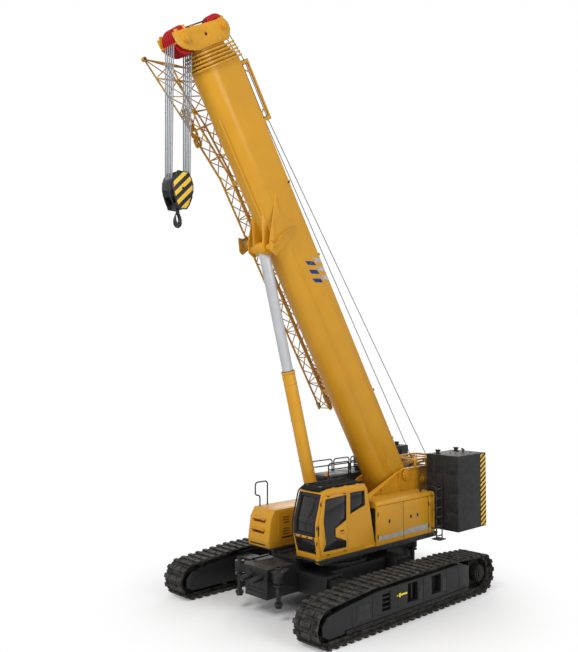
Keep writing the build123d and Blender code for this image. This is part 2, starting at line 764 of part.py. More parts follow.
# ---- Boom head --------------------------------------------------------------------------
head_base = boom_length + (section_count - 1) * collar_pitch + 20
head_base_thick = 80.0
head_plate_y = 300.0
head_plate_thick = 35.0
head_pin_radius = 60.0
rear_sheaves = 3
front_x, _, front_z = boom_point(head_sheave_s, head_front_u)
rear_x, _, rear_z = boom_point(head_sheave_s, head_rear_u)
jib_pin_s, jib_pin_u, jib_pin_radius = head_sheave_s - 60, -480.0, 45.0
head_outline = [
    (head_base, boom_back),
    (head_base + 20, -980),
    (head_base + 90, -1190),
    (head_base + 190, -1370),
    (head_base + 320, -1480),
    (head_base + 470, -1500),
    (head_sheave_s + 230, -1500),
    (head_sheave_s + 230, -1150),
    (head_sheave_s + 180, -180),
    (head_sheave_s + 175, 280),
    (head_sheave_s + 20, 390),
    (head_sheave_s - 150, 380),
]
with BuildPart() as boom_head:
    section_tube(section_count - 1, head_base + 10)
    section_bore(section_count - 1, head_base + 10)
    last_half = boom_half - (section_count - 1) * section_step
    with BuildSketch(across_boom(head_base)):
        with Locations((0, (boom_back - 30 + boom_round - last_half) / 2)):
            Rectangle(2 * head_plate_y + 10, boom_back - 30 - boom_round + last_half)
    extrude(amount=head_base_thick)
    with BuildSketch(across_boom(head_base - 1)):
        with Locations((0, boom_back)):
            Rectangle(2 * (rear_sheaves * fall_pitch / 2 + 50), 2 * 260)
        with Locations((0, boom_round)):
            Rectangle(2 * (last_half - 60), 2 * last_half - 60)
    extrude(amount=head_base_thick + 2, mode=Mode.SUBTRACT)
    for hand in (-1, 1):
        low = head_plate_y if hand > 0 else -head_plate_y - head_plate_thick
        plate(beside_boom(low), head_outline, head_plate_thick)
        for u in (head_front_u, head_rear_u):
            x, _, z = boom_point(head_sheave_s, u)
            axle(x, hand * (head_plate_y + head_plate_thick + 15), z, 130, 40)
    for u in (head_front_u, head_rear_u):
        x, _, z = boom_point(head_sheave_s, u)
        axle(x, 0, z, head_pin_radius, 2 * head_plate_y + 20)
    # cross tie between the plates
    x, _, z = boom_point(head_sheave_s + 100, -640)
    axle(x, 0, z, 50, 2 * head_plate_y + 20)
    x, _, z = boom_point(jib_pin_s, jib_pin_u)
    axle(x, 0, z, jib_pin_radius, 2 * head_plate_y + 200, Mode.SUBTRACT)
save(boom_head.part, "boom_head")


def sheave_stack(x, z, count, pitch, outer, bore):
    """Add a stack of grooved sheaves, side by side on one pin."""
    groove = rope_radius - rope_thick / 2 - running_gap
    axle(x, 0, z, groove, count * pitch)
    for k in range(count + 1):
        axle(x, (k - count / 2) * pitch, z, outer, pitch - rope_thick - 14)
    axle(x, 0, z, bore, count * pitch + 100, Mode.SUBTRACT)


head_bore = head_pin_radius + running_gap
with BuildPart() as front_sheaves:
    sheave_stack(front_x, front_z, fall_count, fall_pitch, sheave_radius, head_bore)
save(front_sheaves.part, "front_head_sheaves")

with BuildPart() as rear_sheave_stack:
    sheave_stack(rear_x, rear_z, rear_sheaves, fall_pitch, sheave_radius, head_bore)
save(rear_sheave_stack.part, "rear_head_sheaves")

# ---- Rope guide on the boom's back ------------------------------------------------------
guide_u = 690.0
guide_low, guide_high = 11400.0, 13080.0
with BuildPart() as rope_guide:
    for y in (-150, 150):
        bar(boom_point(guide_low, guide_u, y), boom_point(guide_high, guide_u, y), 60)
        for s in (guide_low + 60, guide_high - 60):
            bar(boom_point(s, boom_back, y), boom_point(s, guide_u, y), 60, 90)
    for s in (guide_low + 60, guide_high - 60):
        x, _, z = boom_point(s, guide_u - 70)
        axle(x, 0, z, 50, 300)
    for s in (2810, 7410):
        bar(boom_point(s, boom_back, 0), boom_point(s, boom_back + 250, 0), 40)
        x, _, z = boom_point(s, boom_back + 250)
        axle(x, 0, z, 25, 400)
save(rope_guide.part, "rope_guide")

# ---- Luffing cylinder -------------------------------------------------------------------
foot_run = Vector(barrel_foot_x - eye_x, 0, barrel_foot_z - eye_z)
foot_distance = foot_run.length
cylinder_down = foot_run.normalized()


def down_cylinder(distance):
    """A point on the cylinder's axis, measured from the rod's eye towards the foot."""
    return (eye_x + cylinder_down.X * distance, 0, eye_z + cylinder_down.Z * distance)


def pipe_point(distance):
    """A point on the feed pipe beside the barrel."""
    x, _, z = down_cylinder(distance)
    return (x, -barrel_radius - 45, z)


rod_length = 4755.0
with BuildPart() as luff_rod:
    rod(down_cylinder(90), down_cylinder(rod_length), rod_radius)
    axle(eye_x, 0, eye_z, 190, 2 * eye_half)
    axle(eye_x, 0, eye_z, eye_pin_radius + running_gap, 400, Mode.SUBTRACT)
save(luff_rod.part, "luff_rod")

barrel_end = foot_distance - 420
with BuildPart() as luff_barrel:
    rod(down_cylinder(barrel_nose), down_cylinder(barrel_end), barrel_radius)
    bar(down_cylinder(barrel_end - 10), down_cylinder(foot_distance), 2 * (cheek_gap - face_gap), 260)
    axle(barrel_foot_x, 0, barrel_foot_z, 150, 2 * (cheek_gap - face_gap))
    bore_end = down_cylinder(barrel_end - 60)
    rod(down_cylinder(barrel_nose - 1), bore_end, rod_radius + running_gap, Mode.SUBTRACT)
    # feed pipe along the right side
    rod(pipe_point(barrel_nose + 200), pipe_point(barrel_end - 200), 22)
    for distance in (barrel_nose + 240, barrel_end - 240):
        x, _, z = down_cylinder(distance)
        bar((x, -barrel_radius + 5, z), pipe_point(distance), 60, side=tuple(cylinder_down))
save(luff_barrel.part, "luff_barrel")

# ---- Fly jib ----------------------------------------------------------------------------
# A lattice extension, stowed along the boom's right side. Four chords, laced on all faces.
jib_near, jib_far = -850.0, -1280.0
jib_front, jib_back = -600.0, -170.0
jib_tail, jib_end, jib_bays = 2770.0, 11900.0, 10
chord, lace, strut = 60.0, 34.0, 50.0
flare_front = -880.0
jib_flare = 10400.0
tip_lug = (14050.0, -1350.0, jib_far)
near_lug = (13400.0, -480.0, -760.0)
strut_far = (13700.0, -900.0, -900.0)
strut_near = (13700.0, -900.0, -1100.0)


def jib_corner(s, front, far):
    """A corner of the jib at a distance along the boom."""
    lean = max(0.0, s - jib_flare) / (jib_end - jib_flare)
    u = jib_front + (flare_front - jib_front) * lean if front else jib_back - 160.0 * lean
    return boom_point(s, u, jib_far if far else jib_near)


with BuildPart() as fly_jib:
    corners = ((True, True), (True, False), (False, False), (False, True))
    for front, far in corners:
        bar(jib_corner(jib_tail, front, far), jib_corner(jib_flare, front, far), chord)
        bar(jib_corner(jib_flare, front, far), jib_corner(jib_end, front, far), chord)
    bay = (jib_end - jib_tail) / jib_bays
    for k in range(jib_bays + 1):
        s = min(max(jib_tail + k * bay, jib_tail + chord / 2), jib_end - chord / 2)
        for a, b in zip(corners, corners[1:] + corners[:1]):
            bar(jib_corner(s, *a), jib_corner(s, *b), lace, side=(boom_cos, 0, boom_sin))
            if k < jib_bays and (a[0] or a[1]):
                bar(jib_corner(s, *a), jib_corner(s + bay, *b), lace, side=(boom_sin, 0, -boom_cos))
    # struts from the four corners to the two lugs at the jib's tip, then a tie between the lugs
    for (front, far), strut_end in zip(corners, (tip_lug, strut_far, near_lug, strut_near)):
        bar(jib_corner(jib_end, front, far), boom_point(*strut_end), strut)
    bar(boom_point(*tip_lug), boom_point(*near_lug), strut)
save(fly_jib.part, "fly_jib")

wing_outer = boom_half + 32.0
# each arm: how far along the boom, how high, where it starts beside it, how wide
jib_arms = (
    (3400.0, jib_front, boom_half, 130.0),
    (3400.0, jib_back, boom_half, 90.0),
    (8445.0, jib_front, wing_outer, 130.0),
    (8445.0, jib_back, boom_half, 90.0),
    (10200.0, jib_front, boom_half, 130.0),
    (10200.0, jib_back, boom_half, 90.0),
)
with BuildPart() as jib_brackets:
    for s, u, start_y, arm_width in jib_arms:
        bar(boom_point(s, u, -start_y), boom_point(s, u, jib_near + chord / 2), arm_width, chord,
            side=(boom_cos, 0, boom_sin))
save(jib_brackets.part, "jib_brackets")

# ---- Hook block -------------------------------------------------------------------------
with BuildPart() as falls:
    for k in range(fall_count):
        place = k - (fall_count - 1) / 2
        for x in (front_x - rope_radius, front_x + rope_radius):
            rod((x, place * block_pitch, block_centre_z), (x, place * fall_pitch, front_z), rope_thick / 2)
save(falls.part, "hoist_falls")

block_pin_radius = 55.0
block_bore = block_pin_radius + running_gap
with BuildPart() as block_sheaves:
    sheave_stack(front_x, block_centre_z, fall_count, block_pitch, rope_radius + 35, block_bore)
save(block_sheaves.part, "block_sheaves")

block_inner = (fall_count + 1) * block_pitch / 2 + 2
block_span = 2 * (block_inner + block_plate / 2)
cross_head_z = block_centre_z - 430.0
cross_head_top = cross_head_z + 50
hook_stem = 55.0
block_outline = [
    (front_x - 180, block_centre_z + 420),
    (front_x + 180, block_centre_z + 420),
    (front_x + block_half_x, block_centre_z + 130),
    (front_x + block_half_x, block_centre_z - 60),
    (front_x + 180, cross_head_z - 70),
    (front_x - 180, cross_head_z - 70),
    (front_x - block_half_x, block_centre_z - 60),
    (front_x - block_half_x, block_centre_z + 130),
]
with BuildPart() as hook_block:
    for low in (block_inner, -block_inner - block_plate):
        plate(beside(low), block_outline, block_plate)
    axle(front_x, 0, block_centre_z, block_pin_radius, block_span)
    for x in (front_x - 150, front_x + 150):
        axle(x, 0, block_centre_z + 375, 24, block_span)
    block(front_x - 110, front_x + 110, -block_span / 2, block_span / 2, cross_head_z - 60, cross_head_top)
    with Locations((front_x, 0, cross_head_z)):
        Cylinder(hook_stem + running_gap, 200, mode=Mode.SUBTRACT)
save(hook_block.part, "hook_block")

hook_bowl_z = cross_head_z - 330.0
hook_radius, hook_throat, hook_thick, hook_nut = 175.0, 78.0, 90.0, 30.0
with BuildPart() as hook:
    with Locations((front_x, 0, cross_head_z - 60)):
        Cylinder(hook_stem, 240)
    with Locations((front_x, 0, cross_head_top + running_gap + hook_nut / 2)):
        Cylinder(95, hook_nut)
    with BuildSketch(beside(-hook_thick / 2)):
        with Locations((front_x, hook_bowl_z)):
            Circle(hook_radius)
        with Locations((front_x, hook_bowl_z + hook_radius)):
            Rectangle(150, 130)
        with Locations((front_x + 20, hook_bowl_z + 20)):
            Circle(hook_throat, mode=Mode.SUBTRACT)
        with Locations((front_x + 120, hook_bowl_z + 90)):
            Rectangle(140, 90, rotation=-35, mode=Mode.SUBTRACT)
    extrude(amount=-hook_thick)
save(hook.part, "hook")
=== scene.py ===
import json
from math import cos, hypot, pi, radians, sin

import bmesh
import bpy
from mathutils import Matrix, Vector
from mathutils.geometry import convex_hull_2d, intersect_point_line

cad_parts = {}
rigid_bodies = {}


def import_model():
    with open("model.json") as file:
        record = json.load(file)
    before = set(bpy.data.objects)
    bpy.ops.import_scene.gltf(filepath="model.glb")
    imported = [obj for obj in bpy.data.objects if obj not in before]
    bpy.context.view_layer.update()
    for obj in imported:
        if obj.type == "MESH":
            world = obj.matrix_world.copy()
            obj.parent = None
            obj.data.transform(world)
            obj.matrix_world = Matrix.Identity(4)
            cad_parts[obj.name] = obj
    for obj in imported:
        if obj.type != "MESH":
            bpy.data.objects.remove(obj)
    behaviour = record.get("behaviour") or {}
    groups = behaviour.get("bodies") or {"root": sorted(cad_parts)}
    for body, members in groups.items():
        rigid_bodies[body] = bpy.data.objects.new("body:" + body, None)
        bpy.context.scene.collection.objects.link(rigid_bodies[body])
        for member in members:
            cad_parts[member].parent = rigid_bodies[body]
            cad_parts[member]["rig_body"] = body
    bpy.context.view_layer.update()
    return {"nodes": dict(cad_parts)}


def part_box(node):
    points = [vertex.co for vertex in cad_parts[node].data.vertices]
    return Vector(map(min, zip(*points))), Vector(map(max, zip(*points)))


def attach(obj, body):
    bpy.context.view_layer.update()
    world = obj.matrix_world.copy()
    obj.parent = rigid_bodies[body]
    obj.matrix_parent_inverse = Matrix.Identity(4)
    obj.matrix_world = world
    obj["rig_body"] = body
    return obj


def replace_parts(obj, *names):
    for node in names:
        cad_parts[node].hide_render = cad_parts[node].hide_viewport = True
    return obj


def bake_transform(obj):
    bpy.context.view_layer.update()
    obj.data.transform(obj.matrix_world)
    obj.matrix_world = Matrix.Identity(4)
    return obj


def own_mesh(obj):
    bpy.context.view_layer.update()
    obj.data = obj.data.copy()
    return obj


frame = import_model()
nodes = frame["nodes"]
scene = bpy.context.scene

# ---- Carbody ----
# The welded box under the slew ring, with sleeves for the track beams, four jack arms and a
# rope anchor box at each end. Plate steel in satin charcoal paint, greased and dusty.


tool = bmesh.new()  # every piece is built in this mesh and then taken out of it


def feed(tree, node, wires):
    """Give a node's sockets a value, a link or several links each."""
    for key, value in wires.items():
        for source in value if isinstance(value, list) else [value]:
            if isinstance(source, bpy.types.NodeSocket):
                tree.links.new(source, node.inputs[key])
            else:
                node.inputs[key].default_value = source


def add_node(tree, kind, wires={}, give=0, **settings):
    """Add a node: its settings, then its sockets. Gives one of its outputs."""
    if "Node" not in kind:
        kind = ("GeometryNode" if tree.type == "GEOMETRY" else "ShaderNode") + kind
    node = tree.nodes.new(kind)
    for key, value in settings.items():
        setattr(node, key, value)
    feed(tree, node, wires)
    return node.outputs[give]


def figure(tree, operation, first, second=0.5):
    """One sum on one or two values."""
    return add_node(tree, "ShaderNodeMath", {0: first, 1: second}, operation=operation)


def noise(tree, scale, detail=4.0, roughness=0.55):
    """A noise pattern fixed to the piece's own coordinates."""
    place = add_node(tree, "TexCoord", give="Object")
    return add_node(tree, "TexNoise", {"Vector": place, "Scale": scale, "Detail": detail,
        "Roughness": roughness})


def spread(tree, value, low, high, low_to=0.0, high_to=1.0):
    """Stretch the part of a value between two levels to another span."""
    levels = {"Value": value, "From Min": low, "From Max": high, "To Min": low_to, "To Max": high_to}
    return add_node(tree, "MapRange", levels)


def mixed(tree, share, first, second):
    """Blend two colours; each is a colour or another node's output."""
    first, second = ((*colour, 1) if isinstance(colour, tuple) else colour for colour in (first, second))
    return add_node(tree, "Mix", {0: share, 6: first, 7: second}, 2, data_type="RGBA")


def shaded(colour, factor):
    """A colour made lighter or darker."""
    return tuple(min(1.0, part * factor) for part in colour)


def shader(name, constants):
    """Start a material: its name, and the constant values of its shader."""
    material = bpy.data.materials.new(name)
    material.use_nodes = True
    surface = material.node_tree.nodes["Principled BSDF"]
    feed(material.node_tree, surface, constants)
    return material, material.node_tree, surface


def coating(name, colour, roughness, worn=None, dust=0.0, dust_tint=(0.25, 0.22, 0.18),
        metallic=0.0, coat=0.0, ripple=0.004, shine=0.3, specks=0.35):
    """Paint or uncoated metal: cloudy colour, worn edges that are partly a painted edge highlight, dust on
    what faces up, and a fine ripple.
    """
    constants = {"Metallic": metallic, "Coat Weight": coat, "Coat Roughness": 0.18,
        "Specular IOR Level": shine}
    material, tree, surface = shader(name, constants)
    shade = mixed(tree, spread(tree, noise(tree, 0.9), 0.3, 0.7), shaded(colour, 0.93),
        shaded(colour, 1.05))
    speck = spread(tree, noise(tree, 38.0, 6.0, 0.7), 0.62, 0.74, 0.0, specks)
    shade = mixed(tree, speck, shade, shaded(colour, 0.72))
    # sharp edges take the worn colour: partly chipped paint and rubbed metal, partly a painted highlight
    # where an edge would catch the light; with no worn colour given, edges are drawn 1.35 times lighter
    edge = spread(tree, add_node(tree, "NewGeometry", give="Pointiness"), 0.53, 0.6)
    chip_and_highlight = figure(tree, "MULTIPLY", edge, spread(tree, noise(tree, 6.0, 8.0, 0.7), 0.42, 0.6))
    edge_wear_and_highlight = (worn,) * 3 if isinstance(worn, float) else worn or shaded(colour, 1.35)
    shade = mixed(tree, chip_and_highlight, shade, edge_wear_and_highlight)
    facing = add_node(tree, "SeparateXYZ", {"Vector": add_node(tree, "TexCoord", give="Normal")}, "Z")
    upward = spread(tree, facing, 0.55, 1.0, 0.0, dust)
    settled = figure(tree, "MULTIPLY", upward, spread(tree, noise(tree, 3.0), 0.35, 0.65))
    gloss = spread(tree, noise(tree, 11.0), 0.3, 0.7, roughness - 0.05, roughness + 0.07)
    bump = add_node(tree, "Bump", {"Strength": 0.25, "Distance": ripple, "Height": noise(tree, 2.2, 5.0)})
    feed(tree, surface, {"Base Color": mixed(tree, settled, shade, dust_tint), "Roughness": gloss,
        "Normal": bump})
    return material


def taken(name):
    """Take what has been added as a mesh, and leave the tool empty."""
    mesh = bpy.data.meshes.new(name)
    tool.to_mesh(mesh)
    tool.clear()
    return mesh


def rounded(mesh, smooth):
    """Shade a mesh smooth, apart from its sharp edges."""
    mesh.shade_smooth()
    mesh.set_sharp_from_angle(angle=radians(smooth))
    return mesh


def into_scene(piece):
    """Stand a new object in the scene."""
    scene.collection.objects.link(piece)
    return piece


def made_real(holder, name):
    """Keep what an object's modifiers make as a plain mesh."""
    mesh = bpy.data.meshes.new_from_object(holder.evaluated_get(bpy.context.evaluated_depsgraph_get()))
    bpy.data.objects.remove(holder)
    mesh.name = name
    return mesh


def link(name, mesh, material, body):
    """Put a finished mesh in the scene as a piece of one body, in its material's slot."""
    mesh.materials.clear()
    mesh.materials.append(material)
    piece = into_scene(bpy.data.objects.new(name, mesh))
    if body:
        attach(piece, body)
    return piece


def settle(name, material, ease=0.0, body="superstructure", smooth=35.0):
    """Turn what has been added into a piece, with its edges eased and its round faces smooth."""
    bmesh.ops.remove_doubles(tool, verts=tool.verts, dist=1e-5)
    bmesh.ops.recalc_face_normals(tool, faces=tool.faces)
    if ease:
        sharp = [e for e in tool.edges if len(e.link_faces) == 2 and e.calc_face_angle() > radians(smooth)]
        bmesh.ops.bevel(tool, geom=sharp, offset=ease, segments=2, profile=0.6, affect="EDGES",
            clamp_overlap=True)
    mesh = rounded(taken(name), smooth)
    return link(name, mesh, material, body)


def room_beside(edge):
    """Give the width of the narrowest flat beside an edge."""
    pairs = [(vert, edge) for face in edge.link_faces for vert in face.verts]
    pairs += [(vert, other) for face in edge.link_faces for other in face.edges if other is not edge
        for vert in edge.verts]
    room = 1.0
    for vert, line in pairs:
        if vert not in line.verts:
            near, share = intersect_point_line(vert.co, line.verts[0].co, line.verts[1].co)
            if 0 < share < 1:
                room = min(room, (vert.co - near).length)
    return room


def eased(node, material, ease=0.008, smooth=32.0):
    """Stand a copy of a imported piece, with its sharp edges eased, in that piece's place."""
    name = node + "_finished"
    tool.from_mesh(nodes[node].data)
    bmesh.ops.remove_doubles(tool, verts=tool.verts, dist=3e-5)
    bmesh.ops.dissolve_limit(tool, angle_limit=radians(1.0), verts=tool.verts, edges=tool.edges)
    eased_share = tool.edges.layers.float.new("bevel_weight_edge")
    for edge in tool.edges:
        if edge.is_convex and edge.calc_face_angle() > radians(smooth):
            edge[eased_share] = min(1.0, 0.45 * room_beside(edge) / ease)
    mesh = taken(name)
    for layer in ("custom_normal", "sharp_edge", "sharp_face"):
        if layer in mesh.attributes:
            mesh.attributes.remove(mesh.attributes[layer])
    copy = into_scene(bpy.data.objects.new("easing", mesh))
    rounding = copy.modifiers.new("edges", "BEVEL")
    rounding.width = ease
    rounding.segments = 2
    rounding.limit_method = "WEIGHT"
    rounding.use_clamp_overlap = False
    rounding.miter_outer = "MITER_ARC"
    copy.modifiers.new("faces", "TRIANGULATE").min_vertices = 5
    piece = link(name, rounded(made_real(copy, name), smooth), material, nodes[node]["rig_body"])
    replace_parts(piece, node)
    return piece


def add_box(start, end):
    """Add a box between two opposite corners."""
    start, end = Vector(start), Vector(end)
    made = bmesh.ops.create_cube(tool, size=1.0)["verts"]
    bmesh.ops.scale(tool, vec=[abs(side) for side in end - start], verts=made)
    bmesh.ops.translate(tool, vec=(start + end) / 2, verts=made)


def add_rod(start, end, radius, sides=16, far_radius=None):
    """Add a capped round bar between two points."""
    start, end = Vector(start), Vector(end)
    turn = (end - start).to_track_quat("Z", "Y").to_matrix().to_4x4()
    bmesh.ops.create_cone(tool, cap_ends=True, segments=sides, radius1=radius, radius2=far_radius or radius,
        depth=(end - start).length, matrix=Matrix.Translation((start + end) / 2) @ turn)


def add_tube(points, radius, sides=10):
    """Add a round bar through points; its radius may change from point to point."""
    points = [Vector(p) for p in points]
    radii = radius if isinstance(radius, list) else [radius] * len(points)
    last = len(points) - 1
    rings, side = [], None
    for i, point in enumerate(points):
        ahead = (points[min(i + 1, last)] - points[max(i - 1, 0)]).normalized()
        side = side or ahead.orthogonal().normalized()
        side = (side - ahead * side.dot(ahead)).normalized()
        across = ahead.cross(side)
        bend = 1 / max(0.5, (point - points[i - 1]).normalized().dot(ahead)) if 0 < i < last else 1.0
        reach = radii[i] * (bend if bend < 1.3 else 1)
        turns = [2 * pi * k / sides for k in range(sides)]
        rings.append([tool.verts.new(point + (side * cos(a) + across * sin(a)) * reach) for a in turns])
    for first, second in zip(rings, rings[1:]):
        for k in range(sides):
            j = (k + 1) % sides
            tool.faces.new((first[k], first[j], second[j], second[k]))
    tool.faces.new(rings[0][::-1])
    tool.faces.new(rings[-1])


def add_sheet(outline, push):
    """Add a flat plate: its outline's points, pushed to give it thickness."""
    low = [tool.verts.new(Vector(p)) for p in outline]
    high = [tool.verts.new(Vector(p) + Vector(push)) for p in outline]
    tool.faces.new(low)
    tool.faces.new(high[::-1])
    for wall in zip(low[1:] + low[:1], low, high, high[1:] + high[:1]):
        tool.faces.new(wall)


def rounded_path(corners, radius, steps=5):
    """The points of a bent bar whose corners are turned at one radius."""
    corners = [Vector(c) for c in corners]
    points = [corners[0]]
    for before, corner, after in zip(corners, corners[1:], corners[2:]):
        into, out = corner - before, after - corner
        cut = min(radius, into.length * 0.45, out.length * 0.45)
        start, end = corner - into.normalized() * cut, corner + out.normalized() * cut
        points += [start.lerp(corner, k / steps).lerp(corner.lerp(end, k / steps),
            k / steps) for k in range(steps + 1)]
    return points + [corners[-1]]


charcoal = (0.0085, 0.0085, 0.009)
charcoal_paint = coating("charcoal_paint", charcoal, 0.44, worn=0.04, dust=0.06)
eased("carbody", charcoal_paint, 0.01)


def begin_tree(name, sizes):
    """Start a Geometry Nodes tree: a mesh or curve comes in, with named inputs beside it."""
    tree = bpy.data.node_groups.new(name, "GeometryNodeTree")
    socket = tree.interface.new_socket
    socket("Geometry", in_out="INPUT", socket_type="NodeSocketGeometry")
    kinds = {float: "Float", int: "Int", tuple: "Vector", type(None): "Object"}
    for label, value in sizes.items():
        made = socket(label, in_out="INPUT", socket_type="NodeSocket" + kinds[type(value)])
        if value is not None:
            made.default_value = value
    socket("Material", in_out="INPUT", socket_type="NodeSocketMaterial")
    socket("Geometry", in_out="OUTPUT", socket_type="NodeSocketGeometry")
    return tree, tree.nodes.new("NodeGroupInput").outputs


def end_tree(tree, given, geometry):
    """Finish a tree: copies made real, then the material set."""
    real = add_node(tree, "RealizeInstances", {"Geometry": geometry})
    painted = add_node(tree, "SetMaterial", {"Geometry": real, "Material": given["Material"]})
    tree.links.new(painted, tree.nodes.new("NodeGroupOutput").inputs["Geometry"])
    return tree


def bolt_tree():
    """Geometry Nodes: a hexagon head with its washer on each vertex, turned to the vertex's facing."""
    tree, given = begin_tree("bolt_heads", {"Head Radius": 0.02, "Head Height": 0.014})
    facing = add_node(tree, "InputNamedAttribute", {"Name": "facing"}, data_type="FLOAT_VECTOR")
    turn = add_node(tree, "FunctionNodeAlignRotationToVector", {"Vector": facing}, axis="Z")
    wide = figure(tree, "MULTIPLY", given["Head Radius"], 1.45)
    thin = figure(tree, "MULTIPLY", given["Head Height"], 0.3)
    size = {"Vertices": 6, "Radius": given["Head Radius"], "Depth": given["Head Height"]}
    parts = [add_node(tree, "MeshCylinder", size), add_node(tree, "MeshCylinder",
        {"Vertices": 12, "Radius": wide, "Depth": thin})]
    both = add_node(tree, "JoinGeometry", {"Geometry": parts})
    spots = add_node(tree, "MeshToPoints", {"Mesh": given["Geometry"]})
    placed = add_node(tree, "InstanceOnPoints", {"Points": spots, "Instance": both, "Rotation": turn})
    return end_tree(tree, given, placed)


bolt_heads = bolt_tree()


def run_mesh(name, runs):
    """A mesh of wires through runs of points."""
    points, edges = [], []
    for route in runs:
        edges += [(len(points) + k, len(points) + k + 1) for k in range(len(route) - 1)]
        points += [tuple(p) for p in route]
    mesh = bpy.data.meshes.new(name + "_runs")
    mesh.from_pydata(points, edges, [])
    return mesh


def bolt_circle(centre, radius, count, way, start=0.0):
    """Bolt places round a circle, all facing one way."""
    spots = []
    for k in range(count):
        turn = [radius * cos(start + 2 * pi * k / count), radius * sin(start + 2 * pi * k / count)]
        turn.insert([abs(part) for part in way].index(1), 0)
        spots.append(([a + b for a, b in zip(centre, turn)], way))
    return spots


def bolt_rows(xs, ys, zs, way):
    """Bolt places wherever rows of x, y and z cross, all facing one way."""
    return [((x, y, z), way) for x in xs for y in ys for z in zs]


def grown(name, seed_data, tree, values, body="superstructure"):
    """Run a Geometry Nodes tree on a mesh or curve and keep what it makes as a plain piece."""
    seed = into_scene(bpy.data.objects.new(name + "_seed", seed_data))
    growth = seed.modifiers.new("growth", "NODES")
    growth.node_group = tree
    for item in tree.interface.items_tree:
        if item.in_out == "INPUT" and item.name in values:
            growth[item.identifier] = values[item.name]
    return link(name, made_real(seed, name), values["Material"], body)


def bolts(name, spots, radius, material, body="superstructure"):
    """Set bolt heads at points, each with the way that it faces."""
    seed = run_mesh(name, [[spot] for spot, way in spots])
    facing = seed.attributes.new("facing", "FLOAT_VECTOR", "POINT")
    for i, (spot, way) in enumerate(spots):
        facing.data[i].vector = Vector(way)
    sizes = {"Head Radius": radius, "Head Height": radius * 1.2, "Material": material}
    return grown(name, seed, bolt_heads, sizes, body)


def hose(name, route, radius, bend=0.12, body="superstructure"):
    """A short hydraulic hose with a pressed fitting at each end."""
    path = rounded_path(route, bend)
    add_tube(path, radius, 10)
    for end, inner in ((path[0], path[1]), (path[-1], path[-2])):
        way = (inner - end).normalized()
        add_rod(end - way * radius * 0.2, end + way * radius * 3.5, radius * 1.35, 8)
    return settle(name, hose_rubber, body=body)


hose_rubber = coating("hose_rubber", (0.01, 0.01, 0.011), 0.55, worn=0.02, dust=0.1)
box_end = 2.9
box_half = 0.44
box_top = 1.285
sleeve_half = 1.46
sleeve_x = 1.45
sleeve_mid_z = 0.76

# seams, lids, bolts and hoses that dress the two end boxes and the sleeves
for end in (-1, 1):
    half = box_half if end > 0 else 0.64
    add_box((end * (box_end - 0.62), -half + 0.07, box_top - 0.002),
        (end * (box_end - 0.06), half - 0.07, box_top + 0.004))
    for y in (-0.2, 0.2):
        add_rod((end * (box_end - 0.01), y, 1.05), (end * (box_end + 0.24), y, 0.985), 0.08, 20, 0.03)
    for z in (0.6, 0.7):
        add_box((end * (box_end - 0.01), -0.33, z), (end * (box_end + 0.012), 0.33, z + 0.035))
for x in (-sleeve_x, sleeve_x):
    for y in (-sleeve_half, sleeve_half):
        for low_x in (x - 0.325, x + 0.297):
            add_box((low_x, y - 0.03, sleeve_mid_z - 0.3), (low_x + 0.028, y + 0.03, sleeve_mid_z + 0.3))
        for low_z in (sleeve_mid_z - 0.296, sleeve_mid_z + 0.268):
            add_box((x - 0.32, y - 0.03, low_z), (x + 0.32, y + 0.03, low_z + 0.028))
settle("carbody_plates", charcoal_paint, 0.004, "carbody")

spots = []
for end in (-1, 1):
    half = box_half if end > 0 else 0.64
    for y in (-half + 0.11, 0, half - 0.11):
        spots += bolt_rows((end * (box_end - 0.58), end * (box_end - 0.1)), [y], [box_top - 0.001],
            (0, 0, 1))
    for y in (-0.2, 0.2):
        spots += bolt_circle((end * (box_end + 0.006), y, 1.04), 0.145, 8, (end, 0, 0))
for x in (-sleeve_x, sleeve_x):
    for y, way in ((-sleeve_half - 0.03, -1), (sleeve_half + 0.03, 1)):
        heights = (sleeve_mid_z - 0.282, sleeve_mid_z + 0.282)
        spots += bolt_rows((x - 0.25, x, x + 0.25), [y + way * 0.004], heights, (0, way, 0))
bolts("carbody_bolts", spots, 0.019, charcoal_paint, "carbody")

for hand in (-1, 1):
    for k, (start_y, end_y) in enumerate(((0.3, 0.393), (0.36, 0.424))):
        route = [(1.95, hand * start_y, box_top - 0.055), (1.95, hand * start_y, box_top - 0.009),
            (2.35, hand * end_y, box_top - 0.009), (2.62, hand * end_y, box_top - 0.009)]
        hose(f"box_hose_{'left' if hand > 0 else 'right'}_{k + 1}", route, 0.014, 0.05, "carbody")

# ---- Jack cylinders ----
# Four upright cylinders that lift the machine while its tracks slide in. Painted tubes with a
# bright rod end above a round foot pad.


def add_post(spot, foot, head, *size):
    """Add an upright round bar: its x and y, its two heights, then its radius and sides."""
    add_rod((*spot, foot), (*spot, head), *size)


jack_paint = coating("jack_paint", shaded(charcoal, 1.3), 0.38, worn=0.05, dust=0.05)
jack_x, jack_y = 2.81, 0.776
jack_foot, jack_top = 0.37, 1.4
for x in (-jack_x, jack_x):
    for y in (-jack_y, jack_y):
        for low_z, high_z, wide, sides in ((jack_foot + 0.1, jack_top, 0.062, 28),
                (jack_foot + 0.42, jack_foot + 0.45, 0.07, 28), (jack_foot, jack_foot + 0.055, 0.09, 8),
                (jack_foot + 0.055, jack_foot + 0.13, 0.112, 8), (jack_top - 0.16, jack_top - 0.1, 0.134,
                28), (jack_top - 0.05, jack_top, 0.075, 6)):
            add_post((x, y), low_z, high_z, wide, sides)
        # the sleeve's lower seal, and a pipe down the inner side
        add_post((x, y), 0.925, 0.965, 0.132, 28)
        out_x, out_y = (0.075 if x > 0 else -0.075), (0.04 if y > 0 else -0.04)
        add_post((x - out_x, y - out_y), jack_foot + 0.3, 0.98, 0.01, 8)
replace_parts(settle("jack_tubes", jack_paint, 0.004, "carbody"), "jack_cylinders")
